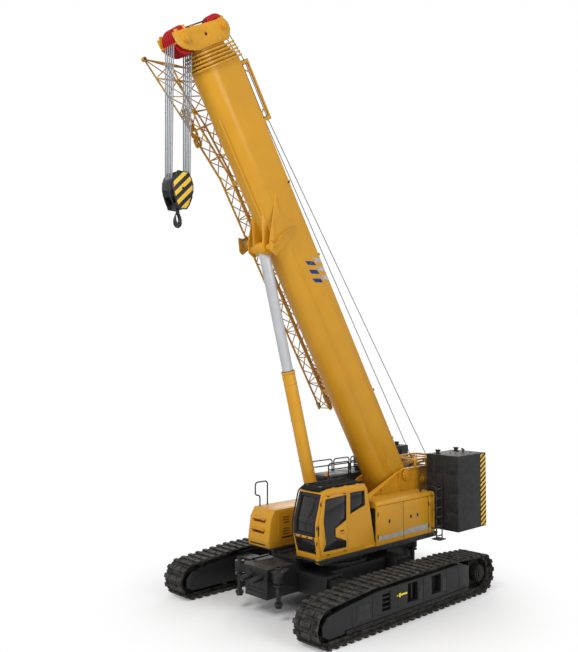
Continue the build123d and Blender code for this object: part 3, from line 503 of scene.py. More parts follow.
spots = []
for x in (-jack_x, jack_x):
    for y in (-jack_y, jack_y):
        for radius, z in ((0.088, jack_foot + 0.128), (0.115, 1.274)):
            spots += bolt_circle((x, y, z), radius, 8, (0, 0, 1), 0.2)
bolts("jack_bolts", spots, 0.011, jack_paint, "carbody")

# ---- Tracks ----
# Cast shoes with a low double grouser, bolted in fours to an endless chain. Worn black steel,
# polished on the grousers and dusty between them; their lighter edges are partly a painted highlight.
track_steel = coating("track_steel", (0.011, 0.0108, 0.0102), 0.6, worn=(0.06, 0.057, 0.05),
    dust_tint=(0.075, 0.064, 0.042), dust=0.18, ripple=0.006, shine=0.2)
shoe_width = 0.83
shoe_height = 0.062
shoe_pitch = 0.262
# the wheels that the chain runs round: x, z, radius to the outside of the shoes
chain_wheels = ((3.2, 0.52, 0.52), (-3.17, 0.56, 0.56), (1.5, 0.93, 0.26), (-1.9, 0.95, 0.26))


def belt(wheels, inset):
    """The outline of a belt drawn tight round a set of wheels, as points in x and z."""
    rim = []
    for x, z, radius in wheels:
        for k in range(180):
            angle = 2 * pi * k / 180
            rim.append((x + (radius - inset) * cos(angle), z + (radius - inset) * sin(angle)))
    hull = [rim[i] for i in convex_hull_2d(rim)]
    start = hull.index(min(hull))
    return hull[start:] + hull[:start]


def shoe_tree():
    """Geometry Nodes: one shoe repeated at even steps round a closed belt, square to it."""
    tree, given = begin_tree("track_shoes", {"Shoe Count": 58, "Shoe": None})
    stops = add_node(tree, "ResampleCurve", {"Curve": given["Geometry"], "Count": given["Shoe Count"]})
    aim = {"Primary Axis": add_node(tree, "InputTangent"), "Secondary Axis": (0, -1, 0)}
    level = add_node(tree, "FunctionNodeAxesToRotation", aim, primary_axis="X", secondary_axis="Y")
    shoe = add_node(tree, "ObjectInfo", {"Object": given["Shoe"]}, "Geometry")
    placed = add_node(tree, "InstanceOnPoints", {"Points": stops, "Instance": shoe, "Rotation": level})
    return end_tree(tree, given, placed)


track_shoes = shoe_tree()
chain_line = belt(chain_wheels, shoe_height / 2)
chain_length = sum(hypot(b[0] - a[0], b[1] - a[1]) for a, b in zip(chain_line,
    chain_line[1:] + chain_line[:1]))
shoe_count = round(chain_length / shoe_pitch)
shoe_length = chain_length / shoe_count - 0.034

# one shoe: a thin base, a broad raised pad with cut corners, a lip at the other edge, link and bolts
half_wide = shoe_width / 2
top = shoe_height / 2
add_box((-shoe_length * 0.6, -half_wide + 0.02, -top), (shoe_length * 0.6, half_wide - 0.02, -top * 0.4))
pad_back, pad_front = -0.44 * shoe_length, 0.1 * shoe_length
for low_y, high_y in ((-half_wide, -0.2), (-0.17, 0.17), (0.2, half_wide)):
    add_box((pad_back, low_y, -top * 0.45), (pad_front, high_y, top))
for low_y, high_y in ((-half_wide + 0.03, -0.04), (0.04, half_wide - 0.03)):
    add_box((0.36 * shoe_length, low_y, -top * 0.45), (0.46 * shoe_length, high_y, top * 0.3))
edges = [e for e in tool.edges if e.calc_length() > 0.01]
bmesh.ops.bevel(tool, geom=edges, offset=0.009, segments=1, affect="EDGES", clamp_overlap=True)
for across in (-0.3, -0.13, 0.13, 0.3):
    add_post((0.265 * shoe_length, across), -top * 0.2, top * 0.45, 0.022, 6)
for across in (-0.22, 0.22):
    add_box((-0.58 * shoe_length, across - 0.035, -top - 0.086), (0.58 * shoe_length, across + 0.035,
        -top + 0.002))
bmesh.ops.recalc_face_normals(tool, faces=tool.faces)
shoe_sample = into_scene(bpy.data.objects.new("track_shoe", taken("track_shoe")))

for side, hand in (("left", 1), ("right", -1)):
    low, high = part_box(f"track_{side}")
    middle_y = (low.y + high.y) / 2
    line = bpy.data.curves.new(f"chain_line_{side}", "CURVE")
    line.dimensions = "3D"
    run = line.splines.new("POLY")
    run.points.add(len(chain_line) - 1)
    for point, (x, z) in zip(run.points, chain_line):
        point.co = (x, middle_y, z, 1)
    run.use_cyclic_u = True
    sizes = {"Shoe Count": shoe_count, "Shoe": shoe_sample, "Material": track_steel}
    shoes = grown(f"track_shoes_{side}", line, track_shoes, sizes, f"{side}_track")
    for vert in shoes.data.vertices:
        vert.co.z = max(vert.co.z, 0.0)
    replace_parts(shoes, f"track_{side}")
bpy.data.objects.remove(shoe_sample)

# ---- Track frames ----
# Welded box frames that carry one track each and slide in and out on two beams. Charcoal
# plate steel with bolted covers, a flange along the foot and a recessed step.


def add_plate(outline, side, push):
    """Add a plate that stands along the crane: its outline in x and z, where it stands, and its thickness."""
    add_sheet([(x, side, z) for x, z in outline], (0, push, 0))


track_y = 2.64
frame_face = 0.33
arrow_yellow = coating("arrow_yellow", (0.78, 0.6, 0.03), 0.45)
for side, hand in (("left", 1), ("right", -1)):
    body = f"{side}_track"
    face_y = hand * (track_y + frame_face)
    eased(f"track_frame_{side}", charcoal_paint, 0.012)
    for x, low_z, high_z in ((2.42, 0.27, 0.86), (1.66, 0.3, 0.95), (0.66, 0.3, 0.97), (-0.42, 0.3, 0.97),
            (-1.46, 0.3, 0.97), (-2.06, 0.3, 0.97)):
        add_box((x - 0.014, face_y, low_z), (x + 0.014, face_y + hand * 0.007, high_z))
    for z, proud in ((0.285, 0.022), (0.245, 0.034)):
        add_box((-2.44, face_y, z - 0.014), (2.66, face_y + hand * proud, z + 0.014))
    # the step set into the front recess, and the two hose clamps in the middle one
    for z in (0.52, 0.64, 0.76, 0.86):
        add_box((1.0, face_y - hand * 0.17, z), (1.28, face_y - hand * 0.02, z + 0.028))
    for x in (-0.02, 0.16):
        add_post((x, face_y - hand * 0.12), 0.47, 0.91, 0.032, 14)
    # access covers
    for low_x, high_x in ((1.78, 2.28), (-0.34, -0.2), (-1.4, -1.24)):
        add_box((low_x, face_y, 0.44), (high_x, face_y + hand * 0.006, 0.78))
    settle(f"frame_plates_{side}", charcoal_paint, 0.003, body)
    spots = bolt_rows((1.81, 2.03, 2.25), [face_y + hand * 0.008], (0.47, 0.75), (0, hand, 0))
    spots += bolt_rows([-2.36 + k * 0.236 for k in range(22)], [face_y + hand * 0.036], [0.247],
        (0, hand, 0))
    bolts(f"frame_bolts_{side}", spots, 0.013, charcoal_paint, body)
    # a plain direction arrow beside the front recess
    mark_y = face_y + hand * 0.0005
    add_plate(((0.3, 0.7), (0.58, 0.7), (0.58, 0.665), (0.74, 0.722), (0.58, 0.78), (0.58, 0.745),
        (0.3, 0.745)), mark_y, hand * 0.0015)
    settle(f"travel_arrow_{side}", arrow_yellow, body=body)

# ---- Rollers, idlers and final drives ----
# Cast rollers on pinned axles along the foot of each frame, a spoked idler in the front fork,
# and a toothed sprocket bolted round the planetary gearbox that drives the track.


def add_axle(spot, near, far, *size):
    """Add a round bar across the crane: its x and z, its two ends, then its radius and sides."""
    add_rod((spot[0], near, spot[-1]), (spot[0], far, spot[-1]), *size)


roller_x = [-2.24 + 0.48 * i for i in range(10)]
for side, hand in (("left", 1), ("right", -1)):
    body = f"{side}_track"
    middle_y = hand * track_y
    face_y = hand * (track_y + frame_face)
    for node in (f"rollers_{side}", f"idler_{side}", f"sprocket_{side}"):
        eased(node, track_steel, 0.006)
    for x in roller_x:
        for way in (-1, 1):
            at_y = middle_y + way * 0.225
            add_axle((x, 0.2803), at_y, at_y + way * 0.07, 0.078, 20)
            add_box((x - 0.1, at_y, 0.235), (x + 0.1, at_y + way * 0.085, 0.3))
            add_box((x - 0.055, at_y, 0.195), (x + 0.055, at_y + way * 0.105, 0.238))
    settle(f"roller_brackets_{side}", track_steel, 0.004, body)
    for radius, low_y, high_y in ((0.235, 0.24, 0.27), (0.19, 0.26, 0.3), (0.115, 0.29, 0.325)):
        add_axle((-3.17, 0.56), middle_y + hand * low_y, middle_y + hand * high_y, radius, 40)
    for way in (-1, 1):
        for radius, reach in ((0.19, 0.165), (0.12, 0.185)):
            add_axle((3.2, 0.52), middle_y + way * 0.14, middle_y + way * reach, radius, 36)
    settle(f"drive_covers_{side}", track_steel, 0.005, body)
    spots = []
    for radius, count, y in ((0.213, 16, 0.274), (0.152, 8, 0.304)):
        spots += bolt_circle((-3.17, middle_y + hand * y, 0.56), radius, count, (0, hand, 0))
    for way in (-1, 1):
        spots += bolt_circle((3.2, middle_y + way * 0.169, 0.52), 0.155, 8, (0, way, 0))
        spots += [((x + way * 0.08, middle_y + hand * 0.312, 0.268), (0, hand, 0)) for x in roller_x]
    bolts(f"drive_bolts_{side}", spots, 0.012, track_steel, body)

# ---- Slew ring ----
# A large ball bearing with an outer ring bolted to the carbody. Oiled steel between two
# circles of hexagon bolts.


def ring_of(loops):
    """Add a closed band: loops of points, each joined to the next, and the last to the first."""
    loops = [[tool.verts.new(point) for point in loop] for loop in loops]
    for a, b in zip(loops[-1:] + loops, loops):
        for k in range(len(a)):
            tool.faces.new((a[k - 1], a[k], b[k], b[k - 1]))
    return sum(loops, [])


eased("slew_ring", track_steel, 0.005)
bolts("slew_ring_bolts", bolt_circle((0, 0, 1.124), 0.975, 48, (0, 0, 1)), 0.019, track_steel, "carbody")
for z in (1.15, 1.205):
    lip = ((0.928, z), (0.942, z), (0.942, z + 0.012), (0.928, z + 0.012))
    ring_of([[(radius * cos(pi * k / 48), radius * sin(pi * k / 48), height) for k in range(96)] for radius,
        height in lip])
settle("slew_ring_lips", track_steel, body="carbody")

# ---- Turntable ----
# The revolving frame: a middle channel with a deck on either side, and cheeks for the foot of
# the luffing cylinder. Charcoal plate, with hydraulic lines laid along the channel.
eased("turntable", charcoal_paint, 0.008)
for hand in (-1, 1):
    edge_y = hand * 1.365
    # folded edge under the deck, with a hanger every metre
    add_box((-3.28, edge_y, 1.37), (1.88, edge_y - hand * 0.016, 1.445))
    for x in (-2.9, -2.0, -1.1, -0.2, 0.7, 1.5):
        add_sheet([(x, hand * 0.5, 1.445), (x, hand * 1.34, 1.445), (x, hand * 1.34, 1.385),
            (x, hand * 0.5, 1.31)], (0.022, 0, 0))
    # foot pin of the luffing cylinder
    for radius, low_y, high_y in ((0.135, 0.244, 0.256), (0.075, 0.25, 0.285)):
        add_axle((0.41, 1.62), hand * low_y, hand * high_y, radius, 32)
    # slew motors in the channel
    add_post((-0.62, hand * 0.3), 1.385, 1.72, 0.105, 28)
    add_post((-0.62, hand * 0.3), 1.7, 1.86, 0.078, 24)
    add_box((-0.7, hand * 0.22, 1.84), (-0.54, hand * 0.38, 1.9))
settle("turntable_plates", charcoal_paint, 0.004)
spots = []
for hand in (-1, 1):
    spots += bolt_circle((0.41, hand * 0.26, 1.62), 0.108, 8, (0, hand, 0))
    spots += bolt_circle((-0.62, hand * 0.3, 1.725), 0.09, 8, (0, 0, 1))
    spots += [((-3.1 + 0.37 * k, hand * 1.366, 1.405), (0, hand, 0)) for k in range(14)]
bolts("turntable_bolts", spots, 0.012, charcoal_paint)
for k in range(4):
    y = -0.4 + 0.055 * k
    hose(f"channel_hose_{k + 1}", [(1.8, y, 1.41), (0.9, y, 1.412), (-0.3, y - 0.01, 1.412),
        (-1.6, y, 1.414), (-2.2, y, 1.44), (-2.45, y, 1.6)], 0.017, 0.2)
for k in range(3):
    y = 0.36 + 0.045 * k
    hose(f"deck_hose_{k + 1}", [(-0.62, 0.34, 1.8 - 0.03 * k), (-0.8, y, 1.72), (-1.1, y, 1.47),
        (-2.4, y, 1.415)], 0.014, 0.12)

# ---- Counterweight ----
# Two stacks of cast slabs on a tray across the tail. Charcoal paint, with lifting bollards on
# top, hazard stripes down the rear corners, and a clamp frame on the inner faces.
weight_front, weight_rear = -3.33, -4.86
weight_inner, weight_outer = 0.95, 2.1
weight_bottom, weight_top = 1.56, 3.83
slab_count = 4


def hazard(name, slope, width):
    """Yellow bands on charcoal, ruled at a slope on the piece's own coordinates."""
    material = coating(name, charcoal, 0.4, dust=0.05)
    tree = material.node_tree
    surface = tree.nodes["Principled BSDF"]
    under = surface.inputs["Base Color"].links[0].from_socket
    slant = add_node(tree, "VectorMath", {0: add_node(tree, "TexCoord", give="Object"),
        1: Vector(slope) / width}, "Value", operation="DOT_PRODUCT")
    band = figure(tree, "GREATER_THAN", figure(tree, "FRACT", slant), 0.5)
    share = figure(tree, "MULTIPLY", band, spread(tree, noise(tree, 14.0, 8.0, 0.75), 0.3, 0.36))
    feed(tree, surface, {"Base Color": mixed(tree, share, under, hazard_yellow)})
    return material


hazard_yellow = (0.8, 0.5, 0.05)
weight_paint = coating("weight_paint", (0.01, 0.01, 0.0106), 0.55, worn=0.03, dust=0.04, ripple=0.002)
edge_stripes = hazard("edge_stripes", (0.5, 0.5, 0.9), 0.135)
step = (weight_top - weight_bottom) / slab_count
for hand in (-1, 1):
    for k in range(slab_count):
        low_z = weight_bottom + step * k
        inset = 0.0 if k else 0.004
        add_box((weight_rear, hand * (weight_inner + inset), low_z + 0.0005),
            (weight_front, hand * (weight_outer - inset), low_z + step - 0.0005))
    for x in (weight_front - 0.25, weight_rear + 0.3):
        y = hand * (weight_inner + 0.25)
        add_post((x, y), weight_top - 0.01, weight_top + 0.085, 0.062, 28)
        add_post((x, y), weight_top + 0.075, weight_top + 0.12, 0.082, 28)
        add_post((x, y), weight_top - 0.01, weight_top + 0.012, 0.115, 28)
    # upright guides cast on the front and inner faces
    for y in (hand * 1.22, hand * 1.62):
        add_box((weight_front - 0.004, y - 0.06, weight_bottom + 0.06),
            (weight_front + 0.014, y + 0.06, weight_top - 0.12))
    for x in (weight_front - 0.5, weight_rear + 0.35):
        y = hand * weight_inner
        add_box((x - 0.045, y, weight_bottom + 0.34), (x + 0.045, y - hand * 0.035, weight_top - 0.1))
add_box((weight_rear, -weight_inner - 0.01, weight_bottom), (weight_front - 0.3, weight_inner + 0.01,
    weight_bottom + 0.33))
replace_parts(settle("counterweight_slabs", weight_paint, 0.005), "counterweight")
for hand in (-1, 1):
    y = hand * (weight_outer + 0.0005)
    foot, head = weight_bottom + 0.03, weight_top - 0.03
    near, far = weight_rear + 0.005, weight_rear + 0.3
    add_plate(((near, foot), (far, foot), (far, head), (near, head)), y, hand * 0.0025)
    y_in, y_out = sorted((hand * (weight_outer - 0.25), hand * (weight_outer - 0.005)))
    x = weight_rear - 0.0005
    add_sheet([(x, y_in, foot), (x, y_out, foot), (x, y_out, head), (x, y_in, head)], (-0.0015, 0, 0))
settle("counterweight_stripes", edge_stripes)
spots = []
heights = [weight_bottom + 0.25 + 0.36 * k for k in range(6)]
for hand in (-1, 1):
    spots += bolt_rows([weight_front + 0.017], (hand * 1.22, hand * 1.62), heights, (1, 0, 0))
    spots += bolt_rows((-4.6, -4.2, -3.8), (hand * 1.7, hand * 1.95), [weight_top + 0.004], (0, 0, 1))
bolts("counterweight_bolts", spots, 0.016, weight_paint)
# small tail lamps and an aerial on the left stack
for x, y in ((-4.55, 1.45), (-4.35, 1.62)):
    add_post((x, y), weight_top - 0.005, weight_top + 0.07, 0.014, 10)
    add_post((x, y), weight_top + 0.06, weight_top + 0.11, 0.04, 20, 0.034)
add_post((-3.95, 1.4), weight_top - 0.005, weight_top + 0.115, 0.01, 8)
settle("tail_lamps", charcoal_paint, 0.003)

# ---- Winches ----
# Grooved hoist drums between the tail plates, wound with wire rope. Charcoal flanges with
# spokes cast in, a gearbox in the left end, and bright oiled rope.
dark_rope = coating("dark_rope", (0.04, 0.042, 0.046), 0.5, worn=(0.16, 0.16, 0.17),
    metallic=0.5, ripple=0.001)


def coil_tree():
    """Geometry Nodes: rope wound side by side round a drum that lies across the crane."""
    sizes = {"Turns": 20.0, "Drum Radius": 0.3, "Width": 0.8, "Rope Radius": 0.012,
        "Middle": (0.0, 0.0, 0.0)}
    tree, given = begin_tree("wound_rope", sizes)
    wind = {"Resolution": 28, "Rotations": given["Turns"], "Start Radius": given["Drum Radius"],
        "End Radius": given["Drum Radius"], "Height": given["Width"]}
    helix = add_node(tree, "CurveSpiral", wind)
    shift = add_node(tree, "ShaderNodeCombineXYZ", {"Z": figure(tree, "MULTIPLY", given["Width"], -0.5)})
    centred = add_node(tree, "Transform", {"Geometry": helix, "Translation": shift})
    lie = {"Geometry": centred, "Rotation": (pi / 2, 0, 0), "Translation": given["Middle"]}
    section = add_node(tree, "CurvePrimitiveCircle", {"Resolution": 6, "Radius": given["Rope Radius"]})
    cut = {"Curve": add_node(tree, "Transform", lie), "Profile Curve": section, "Fill Caps": True}
    return end_tree(tree, given, add_node(tree, "CurveToMesh", cut))


wound_rope = coil_tree()
winch_z = 2.95
for body, node, x in (("main_winch", "main_winch_drum", -3.72), ("auxiliary_winch", "auxiliary_winch_drum",
        -4.48)):
    eased(node, charcoal_paint, 0.005)
    # each layer: turns, radius; the upper one stops short of the flange
    for layer, (turns, radius, width) in enumerate(((31.0, 0.313, 0.8), (24.0, 0.336, 0.62))):
        sizes = {"Turns": turns, "Drum Radius": radius, "Width": width, "Rope Radius": 0.0125,
            "Middle": (x, 0.0 if layer == 0 else -0.09, winch_z), "Material": dark_rope}
        grown(f"{body}_rope_{layer + 1}", run_mesh(body, [[(x, 0, winch_z)]]), wound_rope, sizes, body)
    spots = []
    for way in (-1, 1):
        face_y = way * 0.47
        spots += bolt_circle((x, face_y + way * 0.002, winch_z), 0.27, 12, (0, way, 0))
        add_axle((x, winch_z), face_y - way * 0.001, face_y + way * 0.018, 0.2, 36)
    settle(f"{body}_hubs", charcoal_paint, 0.004, body)
    bolts(f"{body}_bolts", spots, 0.013, charcoal_paint, body)

# ---- Boom support ----
# Two tall ochre plates that hold the boom's foot pin and the winches, with a flange along
# their top edge and ribs welded on their outer faces.
ochre = (0.61, 0.292, 0.013)
ochre_paint = coating("ochre_paint", ochre, 0.4, worn=(0.46, 0.25, 0.03), dust=0.03,
    coat=0.1, ripple=0.002)
eased("boom_support", ochre_paint, 0.006)
plate_outer = 0.54
foot_x, foot_z = -2.77, 3.2
for hand in (-1, 1):
    y = hand * plate_outer
    for radius, low, high in ((0.185, 0.045, 0.062), (0.12, 0.055, 0.082)):
        add_axle((foot_x, foot_z), y + hand * low, y + hand * high, radius, 36)
    # upright ribs and one long stiffener
    for x, low_z, high_z in ((-0.8, 1.52, 2.58), (-1.6, 1.52, 2.93), (-2.42, 1.52, 3.25),
            (-3.16, 1.93, 3.33), (-4.1, 1.93, 3.33)):
        add_sheet([(x, y, low_z), (x, y + hand * 0.055, low_z), (x, y + hand * 0.055, high_z - 0.06),
            (x, y, high_z)], (0.016, 0, 0))
    add_sheet([(-0.6, y, 1.96), (-0.6, y + hand * 0.05, 1.96), (-4.6, y + hand * 0.05, 2.3),
        (-4.6, y, 2.3)], (0, 0, 0.016))
    # winch bearings
    for x in (-3.72, -4.48):
        for radius, high in ((0.165, 0.03), (0.105, 0.062)):
            add_axle((x, winch_z), y - hand * 0.004, y + hand * high, radius, 32)
    # pipe clamps
    for k in range(5):
        x = -1.0 - 0.42 * k
        add_box((x - 0.03, y, 2.16 + 0.085 * k), (x + 0.03, y + hand * 0.035, 2.22 + 0.085 * k))
settle("boom_support_ribs", ochre_paint, 0.003)
spots = []
for hand in (-1, 1):
    y = hand * plate_outer
    spots += bolt_circle((foot_x, y + hand * 0.066, foot_z), 0.155, 10, (0, hand, 0))
    for x in (-3.72, -4.48):
        spots += bolt_circle((x, y + hand * 0.034, winch_z), 0.138, 10, (0, hand, 0))
bolts("boom_support_bolts", spots, 0.014, ochre_paint)
for hand in (-1, 1):
    for k in range(2):
        y = hand * (plate_outer + 0.045)
        lift = 0.035 * k
        hose(f"plate_hose_{'left' if hand > 0 else 'right'}_{k + 1}",
            [(-0.85, y, 1.62 + lift), (-0.9, y, 2.18 + lift), (-1.4, y, 2.28 + lift),
            (-2.3, y, 2.46 + lift), (-2.75, y, 2.52 + lift), (-3.3, y, 2.58 + lift)], 0.012, 0.15)

# ---- Winch guard ----
# A railing of square tube over the winches with slanting braces and a walkway grating.
# Ochre paint.
eased("winch_guard", ochre_paint, 0.006)
for y in (-0.52, 0.52):
    add_rod((-3.33, y, 3.4), (-3.87, y, 3.58), 0.018, 12)
    add_rod((-4.67, y, 3.4), (-3.93, y, 3.58), 0.018, 12)
add_rod((-3.3, -0.5, 3.59), (-4.7, 0.5, 3.59), 0.019, 12)
add_rod((-3.3, 0.5, 3.585), (-4.7, -0.5, 3.585), 0.019, 12)
for x in (-3.75, -4.25):
    add_axle((x, 3.58), -0.5, 0.5, 0.018, 12)
settle("winch_guard_braces", ochre_paint)

# ---- Left hood ----
# Folded sheet covers over the pumps behind the cab: two side doors on hinges with press
# latches, a lid, and a pale band along the foot. Ochre paint on steel sheet.
hood_side = 1.35
hood_top = 2.72
hood_front, hood_rear = -0.43, -3.18
eased("left_hood", ochre_paint, 0.012)
rubber = coating("rubber", (0.009, 0.009, 0.01), 0.6, worn=0.02, dust=0.05)


def slat_tree():
    """Geometry Nodes: a bank of pressed louvres set at even steps down a panel."""
    flat = (0.0, 0.0, 0.0)
    tree, given = begin_tree("louvre_bank", {"Slat Count": 5, "Slat Size": flat, "Step": flat,
        "Tilt": flat})
    first = {"Geometry": given["Geometry"], "Value": add_node(tree, "InputPosition")}
    start = add_node(tree, "SampleIndex", first, data_type="FLOAT_VECTOR")
    row = {"Count": given["Slat Count"], "Start Location": start, "Offset": given["Step"]}
    line = add_node(tree, "MeshLine", row, mode="OFFSET")
    slat = add_node(tree, "MeshCube", {"Size": given["Slat Size"]})
    turn = add_node(tree, "FunctionNodeEulerToRotation", {"Euler": given["Tilt"]})
    placed = add_node(tree, "InstanceOnPoints", {"Points": line, "Instance": slat, "Rotation": turn})
    return end_tree(tree, given, placed)


louvre_bank = slat_tree()


def louvres(name, start, count, size, step, tilt, material):
    """One bank of louvres that starts at a point."""
    values = {"Slat Count": count, "Slat Size": size, "Step": step, "Tilt": tilt, "Material": material}
    return grown(name, run_mesh(name, [[start]]), louvre_bank, values)


def door_panel(low_x, high_x, low_z, high_z, y, hand, corner=0.035, thick=0.008):
    """A flat door skin with rounded corners, standing just proud of the hood."""
    outline = []
    for x, z, start in ((high_x - corner, high_z - corner, 0), (low_x + corner, high_z - corner, 1),
            (low_x + corner, low_z + corner, 2), (high_x - corner, low_z + corner, 3)):
        turns = [(start + k / 5) * pi / 2 for k in range(6)]
        outline += [(x + corner * cos(turn), z + corner * sin(turn)) for turn in turns]
    add_plate(outline, y, hand * thick)


for low_x, high_x in ((-2.83, -1.64), (-1.62, -0.47), (-3.15, -2.86)):
    door_panel(low_x, high_x, 1.53, 2.6, hood_side, 1)
# lid seams and its turned-down edge
add_box((-3.14, 0.66, hood_top - 0.001), (-0.47, 1.24, hood_top + 0.007))
for x in (-2.4, -1.6, -0.9):
    add_box((x - 0.05, 1.235, hood_top - 0.03), (x + 0.05, 1.262, hood_top + 0.011))
settle("left_hood_doors", ochre_paint, 0.0035)
# black gaps behind the doors, hinges, latches and the pipe at the rear
for x in (-2.845, -1.63):
    add_box((x - 0.012, hood_side - 0.002, 1.53), (x + 0.012, hood_side + 0.002, 2.6))
add_box((-3.15, hood_side - 0.002, 2.6), (-0.47, hood_side + 0.002, 2.612))
for x, z in ((-0.98, 2.13), (-1.98, 2.13), (-2.3, 2.13)):
    door_panel(x - 0.035, x + 0.035, z - 0.05, z + 0.05, hood_side + 0.008, 1, 0.012, 0.007)
for z in (1.75, 2.38):
    for x in (-0.475, -2.855):
        add_post((x, hood_side + 0.012), z - 0.06, z + 0.06, 0.013, 12)
add_box((hood_front - 0.002, 0.7, 1.6), (hood_front + 0.004, 1.3, 2.55))
add_post((-3.02, 1.22), 2.7, 2.92, 0.02, 14)
add_post((-2.72, 1.16), 2.7, 2.8, 0.028, 16)
add_post((-2.72, 1.16), 2.79, 2.82, 0.04, 18)
settle("left_hood_fittings", rubber, 0.003)
bare_band = coating("bare_band", (0.3, 0.3, 0.29), 0.4)
for low_x, high_x, low_z, high_z in ((-1.618, -0.47, 1.645, 1.745), (-2.828, -1.642, 1.65, 1.775)):
    add_plate(((low_x, low_z - 0.004), (high_x, low_z), (high_x, high_z), (low_x, high_z + 0.028)),
        hood_side + 0.0085, 0.0012)
settle("left_hood_band", bare_band)
louvres("left_hood_louvres", (-3.005, hood_side + 0.013, 2.42), 9, (0.18, 0.016, 0.03), (0, 0, -0.052),
    (-0.5, 0, 0), ochre_paint)
louvres("hood_rear_louvres", (hood_rear - 0.004, 0.98, 2.48), 14, (0.014, 0.46, 0.03), (0, 0, -0.055),
    (0, -0.5, 0), ochre_paint)

# ---- Right housing ----
# The fuel and oil tank housing ahead of the engine, with two steps let into its sloping nose
# and louvres on the side beside the boom. Ochre paint with a black foot.
eased("right_housing", ochre_paint, 0.012)
housing_inner, housing_outer = -0.5, -1.38
# rounded lips over both steps, the tank lid, and a seam across the top
for z, x in ((2.012, 1.955), (2.302, 1.905)):
    for y_a, y_b, drop in ((-1.235, -1.17, 0.016), (-1.17, -0.77, 0.0), (-0.77, -0.705, 0.016)):
        add_sheet([(x - 0.1, y_a, z - 0.012), (x - 0.1, y_b, z - 0.012), (x + 0.085, y_b, z - 0.04 - drop),
            (x + 0.085, y_a, z - 0.04 - drop)], (0.008, 0, 0.034))
add_box((-0.4, -1.3, 2.538), (1.68, -0.58, 2.547))
for low_x, high_x in ((0.42, 1.62), (-0.42, 0.4)):
    for face_y, way in ((housing_outer, -1), (housing_inner, 1)):
        door_panel(low_x, high_x, 1.62, 2.46, face_y, way)
settle("right_housing_panels", ochre_paint, 0.004)
# the slats are drawn in black rubber: painted shade for the dark slots between ochre louvres
for k, top_z in enumerate((2.31, 1.99)):
    louvres(f"right_housing_louvres_{k + 1}", (1.36, housing_inner + 0.012, top_z), 3, (0.22, 0.012, 0.014),
        (0, 0, -0.075), (0.5, 0, 0), rubber)
add_box((1.02, housing_inner + 0.006, 1.73), (1.52, housing_inner + 0.014, 1.765))
# the black foot, the toe plate and the tank caps
add_box((1.9, -1.3, 1.56), (1.985, -0.66, 1.64))
add_box((-0.44, -1.372, 1.5), (1.93, -0.508, 1.545))
for side, radius, height in ((-0.8, 0.055, 0.016), (-1.1, 0.085, 0.012)):
    add_post((0.1, side), 2.545, 2.545 + height, radius, 28)
for x in (0.95, -0.02):
    door_panel(x - 0.035, x + 0.035, 2.02, 2.12, housing_outer - 0.008, -1, 0.012, 0.007)
settle("right_housing_fittings", rubber, 0.003)

# ---- Engine housing ----
# The engine, cooler and silencer stand in a tall charcoal housing at the right rear, with a
# grille at the front, side doors, and a railed roof walkway. Two amber lamps face forward.
eased("engine_housing", charcoal_paint, 0.01)
eased("engine_block", charcoal_paint, 0.01)
engine_front, engine_rear = -0.46, -3.2
engine_top = 3.24
for low_x, high_x in ((-1.3, -0.5), (-2.22, -1.33), (-3.16, -2.25)):
    door_panel(low_x, high_x, 1.56, 3.14, housing_outer, -1, 0.03)
    door_panel(low_x, high_x, 2.76, 3.14, -0.6, 1, 0.03)
# roof walkway plates, the silencer's stack and the cooler's frame
for low_x, high_x in ((-1.55, -0.6), (-2.45, -1.6), (-3.12, -2.5)):
    add_box((low_x, -1.3, engine_top - 0.001), (high_x, -0.68, engine_top + 0.012))
add_post((-2.75, -0.86), engine_top, engine_top + 0.3, 0.07, 28)
add_rod((-2.75, -0.86, engine_top + 0.27), (-2.66, -0.86, engine_top + 0.34), 0.062, 24)
add_post((-2.2, -0.9), engine_top, engine_top + 0.17, 0.115, 32)
add_post((-2.2, -0.9), engine_top + 0.15, engine_top + 0.2, 0.145, 32)
for low_y, high_y in ((-1.34, -1.3), (-0.68, -0.64)):
    add_box((engine_front - 0.012, low_y, 2.6), (engine_front + 0.022, high_y, 3.2))
for low_z, high_z in ((2.6, 2.64), (3.16, 3.2)):
    add_box((engine_front - 0.012, -1.34, low_z), (engine_front + 0.022, -0.64, high_z))
# the box at the front corner, above the tank housing
add_box((-0.96, -0.6, 2.9), (-0.56, -0.565, 3.22))
settle("engine_housing_panels", charcoal_paint, 0.005)
louvres("cooler_grille", (engine_front + 0.004, -0.99, 3.13), 15, (0.012, 0.62, 0.018), (0, 0, -0.034),
    (0, 0.6, 0), charcoal_paint)
for k, x in enumerate((-0.9, -1.78, -2.7)):
    louvres(f"engine_louvres_{k + 1}", (x, housing_outer - 0.014, 2.95), 12, (0.56, 0.016, 0.026),
        (0, 0, -0.05), (0.5, 0, 0), charcoal_paint)
    louvres(f"lower_louvres_{k + 1}", (x, housing_outer - 0.014, 2.02), 6, (0.5, 0.016, 0.024),
        (0, 0, -0.05), (0.5, 0, 0), charcoal_paint)
louvres("engine_rear_louvres", (engine_rear - 0.004, -0.99, 3.02), 22, (0.014, 0.56, 0.028), (0, 0, -0.055),
    (0, -0.5, 0), charcoal_paint)
walkway = [engine_front - 0.12 - 0.32 * k for k in range(9)]
spots = bolt_rows(walkway, (-1.32, -0.66), [engine_top + 0.004], (0, 0, 1))
spots += bolt_rows((-0.54, -1.34, -2.24), [housing_outer - 0.01], (1.75, 2.35, 2.95), (0, -1, 0))
bolts("engine_housing_bolts", spots, 0.012, charcoal_paint)
amber = coating("amber_lens", (0.8, 0.26, 0.01), 0.22, coat=0.6)
for x, y, z in ((-0.52, -0.7, engine_top), (-0.8, -0.575, 2.9)):
    add_post((x, y), z, z + 0.035, 0.052, 24)
    add_post((x, y), z + 0.035, z + 0.115, 0.045, 24, 0.038)
    add_post((x, y), z + 0.113, z + 0.128, 0.038, 24, 0.02)
settle("amber_lamps", amber, 0.003)

